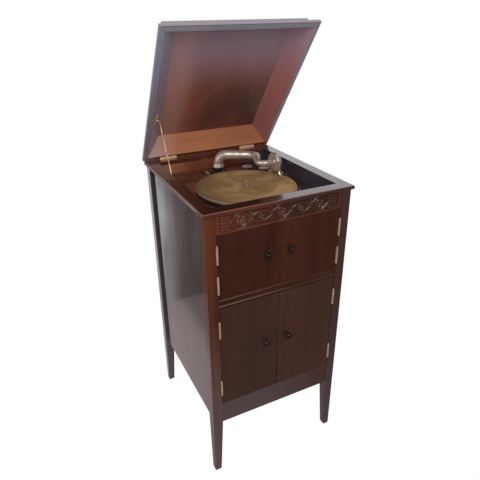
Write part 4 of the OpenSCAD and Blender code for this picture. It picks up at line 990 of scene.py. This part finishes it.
disc_middle = middle_of("soundbox_diaphragm")
axis = max(nodes["soundbox_diaphragm"].data.polygons, key=lambda face: face.area).normal.copy()
if axis.dot(middle_of("stylus_bar") - disc_middle) < 0:
    axis.negate()
first = axis.orthogonal().normalized()
second = axis.cross(first)
RIM_UP, HOLE_UP, HOLE_OUT, HOLES = 0.0042, 0.0024, 0.0277, 12
NEAR_UP, NEAR_OUT = 0.0002, 0.0009
turns = []
for vertex in nodes["soundbox"].data.vertices:
    offset = vertex.co - disc_middle
    up = offset.dot(axis)
    aside = offset - axis * up
    if abs(up - HOLE_UP) < NEAR_UP and abs(aside.length - HOLE_OUT) < NEAR_OUT:
        turns.append(atan2(aside.dot(second), aside.dot(first)) * HOLES)
phase = atan2(sum(map(sin, turns)), sum(map(cos, turns))) / HOLES
for k in range(HOLES):
    a = phase + 2 * pi * k / HOLES
    spot = disc_middle + axis * RIM_UP + (first * cos(a) + second * sin(a)) * HOLE_OUT
    drill("soundbox_screws", "reproducer", spot / MM, axis, TINY, polished, "nickel")
print("holes in the soundbox:", len(turns), "corners seen")


# %% Drive them
def drive(name, body, finish, spots, seed):
    """Runs the tree on the noted spots and keeps its result as one piece."""
    mesh = bpy.data.meshes.new(name + " spots")
    mesh.from_pydata([place for place, _, _ in spots], [], [])
    sizes = [Vector((radius, radius, height)) * MM for _, _, (radius, height) in spots]
    for label, values in (("facing", [facing for _, facing, _ in spots]), ("size", sizes)):
        flat = [number for value in values for number in value]
        mesh.attributes.new(label, "FLOAT_VECTOR", "POINT").data.foreach_set("vector", flat)
    points = new_object(name + " spots", mesh)
    modifier = points.modifiers.new("screws", "NODES")
    modifier.node_group = screws
    sockets = {item.name: item.identifier for item in screws.interface.items_tree if item.in_out == "INPUT"}
    for label, value in (("Screw", head), ("Seed", seed), ("Finish", finish)):
        modifier[sockets[label]] = value
    made = new_object(name, finished_mesh(points))
    points.modifiers.clear()
    bpy.data.objects.remove(points)
    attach(made, body)
    return made


head = screw_head()
for seed, (piece, (body, finish, slot, spots)) in enumerate(drilled.items(), 1):
    made = drive(piece, body, finish, spots, seed)
    print(piece, len(spots), "screws,", len(made.data.polygons), "faces, rides", body)
bpy.data.objects.remove(head)

# %% [markdown]
# ## The studio
#
# The object stands on a plain floor in front of white. Soft lamps light it from the front left, from the left and
# through a window behind. The camera stands where the photographer stood: its place, its tilt and its focal length
# were worked out from the cabinet's edges.
#
# Polished wood shows the room more than itself, so what the varnish mirrors is built with as much care as the lamps.
# The camera sees plain white, but glossy rays meet another room: darker in front of the cabinet than behind it, a
# floor that turns dark on the left, and a curtain there with daylight through its folds. The curtain is a card that
# only reflections see. It gives the left side its pale streaks.

# %% Camera
CAMERA_PLACE = Vector((-0.59259, -1.19984, 1.33850))
AZIMUTH, ELEVATION, ROLL = radians(-26.06), radians(26.36), radians(-0.64)
FOCAL_PX, PICTURE_PX, SENSOR = 467.4, 480, 36.0
back = Vector((sin(AZIMUTH) * cos(ELEVATION), -cos(AZIMUTH) * cos(ELEVATION), sin(ELEVATION)))
side = (-back).cross(Vector((0, 0, 1))).normalized()
up = side.cross(-back)
rolled_side = side * cos(ROLL) + up * sin(ROLL)
rolled_up = up * cos(ROLL) - side * sin(ROLL)
camera = new_object("camera", bpy.data.cameras.new("camera"))
camera.matrix_world = Matrix.Translation(CAMERA_PLACE) @ Matrix((rolled_side, rolled_up, back)).transposed().to_4x4()
camera.data.sensor_width = SENSOR
camera.data.lens = SENSOR * FOCAL_PX / PICTURE_PX
camera.data.clip_start = 0.01
bpy.context.scene.camera = camera
print("lens", round(camera.data.lens, 2), "mm")

# %% A white room that reflections see differently
def mix_shaders(share, a, b):
    """The shader a where share is 0, b where it is 1."""
    made = add(share.id_data, "MixShader")
    for socket, source in enumerate((share, a, b)):
        join(source, made.inputs[socket])
    return made.outputs[0]


ROOM_FRONT, ROOM_BACK = (0.16, 0.13, 0.12, 1), (0.86, 0.83, 0.85, 1)
world = bpy.data.worlds.new("white room")
bpy.context.scene.world = world
world.use_nodes = True
tree = world.node_tree
tree.nodes.clear()
rays = add(tree, "LightPath").outputs
direction = split(add(tree, "TexCoord").outputs["Generated"])
behind = ramp(direction["Y"], -0.3, 0.3)
room = add(tree, "Background", Strength=1.0)
feed(room, Color=blend_colours(behind, ROOM_FRONT, ROOM_BACK))
white = add(tree, "Background", Color=(1, 1, 1, 1), Strength=1.0)
ambient = add(tree, "Background", Color=(0.97, 0.98, 1.0, 1), Strength=0.42)
mirrored = maths("MAXIMUM", rays["Is Glossy Ray"], rays["Is Transmission Ray"])
lit = mix_shaders(mirrored, ambient.outputs[0], room.outputs[0])
seen = mix_shaders(rays["Is Camera Ray"], lit, white.outputs[0])
feed(add(tree, "OutputWorld"), Surface=seen)
print("white room")


# %% Floor
def plane(name, corners):
    """A flat piece of the studio, which isn't part of the object."""
    mesh = bpy.data.meshes.new(name)
    mesh.from_pydata([Vector(c) for c in corners], [], [(0, 1, 2, 3)])
    made = new_object(name, mesh)
    return made


ROOM = 30.0
floor = plane("floor", [(-ROOM, -ROOM, 0), (ROOM, -ROOM, 0), (ROOM, ROOM, 0), (-ROOM, ROOM, 0)])
floor_paint, tree, shader = new_material(
    "pale floor", Base_Color=(0.9, 0.9, 0.9, 1), Roughness=0.9, Specular_IOR_Level=0.1
)
rays = add(tree, "LightPath").outputs
spot = split(place_on(tree))
seen_floor = blend_colours(ramp(spot["Y"], -0.7, 0.3), (0.12, 0.085, 0.07, 1), (0.45, 0.38, 0.39, 1))
seen_floor = blend_colours(ramp(spot["X"], -0.41, -0.48, 0.0, 0.6), seen_floor, (0.1, 0.07, 0.07, 1))
glow = add(tree, "Emission", Strength=1.0)
feed(glow, Color=blend_colours(rays["Is Camera Ray"], seen_floor, (1, 1, 1, 1)))
glowing = maths("MAXIMUM", rays["Is Camera Ray"], rays["Is Glossy Ray"])
painted = mix_shaders(glowing, shader.outputs[0], glow.outputs[0])
feed(tree.nodes["Material Output"], Surface=painted)
give(floor, floor_paint)
print("floor", 2 * ROOM, "m wide")

# %% Lamps
def soft_lamp(name, place, aim, size, power, colour, mirrored=True):
    """A rectangular lamp that faces a point, and that reflections see or not."""
    light = bpy.data.lights.new(name, "AREA")
    light.shape, light.size, light.size_y, light.energy, light.color = "RECTANGLE", *size, power, colour
    made = new_object(name, light)
    made.location = place
    made.rotation_euler = (Vector(place) - Vector(aim)).to_track_quat("Z", "Y").to_euler()
    made.visible_glossy = mirrored


# Each lamp's name, place, aim, size, power in watts and colour
soft_lamp("key", (-0.6, -2.2, 2.6), (0, 0, 0.8), (1.4, 1.4), 34.0, (1.0, 0.97, 0.93))
soft_lamp("fill", (-2.4, -0.4, 1.6), (0, 0, 0.6), (1.4, 1.8), 14.0, (0.95, 0.97, 1.0))
soft_lamp("window", (2.1, 2.6, 2.6), (0.2, 0, 0.9), (1.2, 1.0), 12.0, (0.96, 0.98, 1.0), False)
print("lamps:", *sorted(light.name for light in bpy.data.lights))


# %% The curtain that only reflections see
LEFT, RIGHT, BACK, HIGH = -1.6, -0.26, 0.75, 1.6
WARM_LIGHT, COOL_LIGHT, SKY = (1.0, 0.84, 0.84, 1), (0.92, 0.93, 1.0, 1), 0.6
curtain = plane("curtain", [(RIGHT, BACK, 0), (LEFT, BACK, 0), (LEFT, BACK, HIGH), (RIGHT, BACK, HIGH)])
paint, tree, _ = new_material("curtain paint")
where = place_on(tree)
x, _, z = split(where)
folds = noise(stretch(where, (1, 1, 0.06)), 30.0, 3.0, 0.5)
daylight = ramp(x, -0.46, -0.385)
middle = times(plus(times(daylight, 0.58), 0.17), ramp(folds, 0.4, 0.58, 0.35, 1.2))
foot = plus(times(daylight, 0.34), 0.1)
sky = ramp(z, 0.8, 1.0)
brightness = between(sky, between(ramp(z, 0.0, 0.4), foot, middle), SKY)
light = add(tree, "Emission")
feed(light, Strength=brightness,
     Color=blend_colours(maths("MAXIMUM", daylight, sky), WARM_LIGHT, COOL_LIGHT))
feed(tree.nodes["Material Output"], Surface=light.outputs[0])
give(curtain, paint)
curtain.visible_camera = curtain.visible_diffuse = curtain.visible_shadow = curtain.visible_transmission = False
print("curtain", round(RIGHT - LEFT, 2), "m wide")

# %% Colour management and the end
bpy.context.scene.view_settings.view_transform = "Standard"
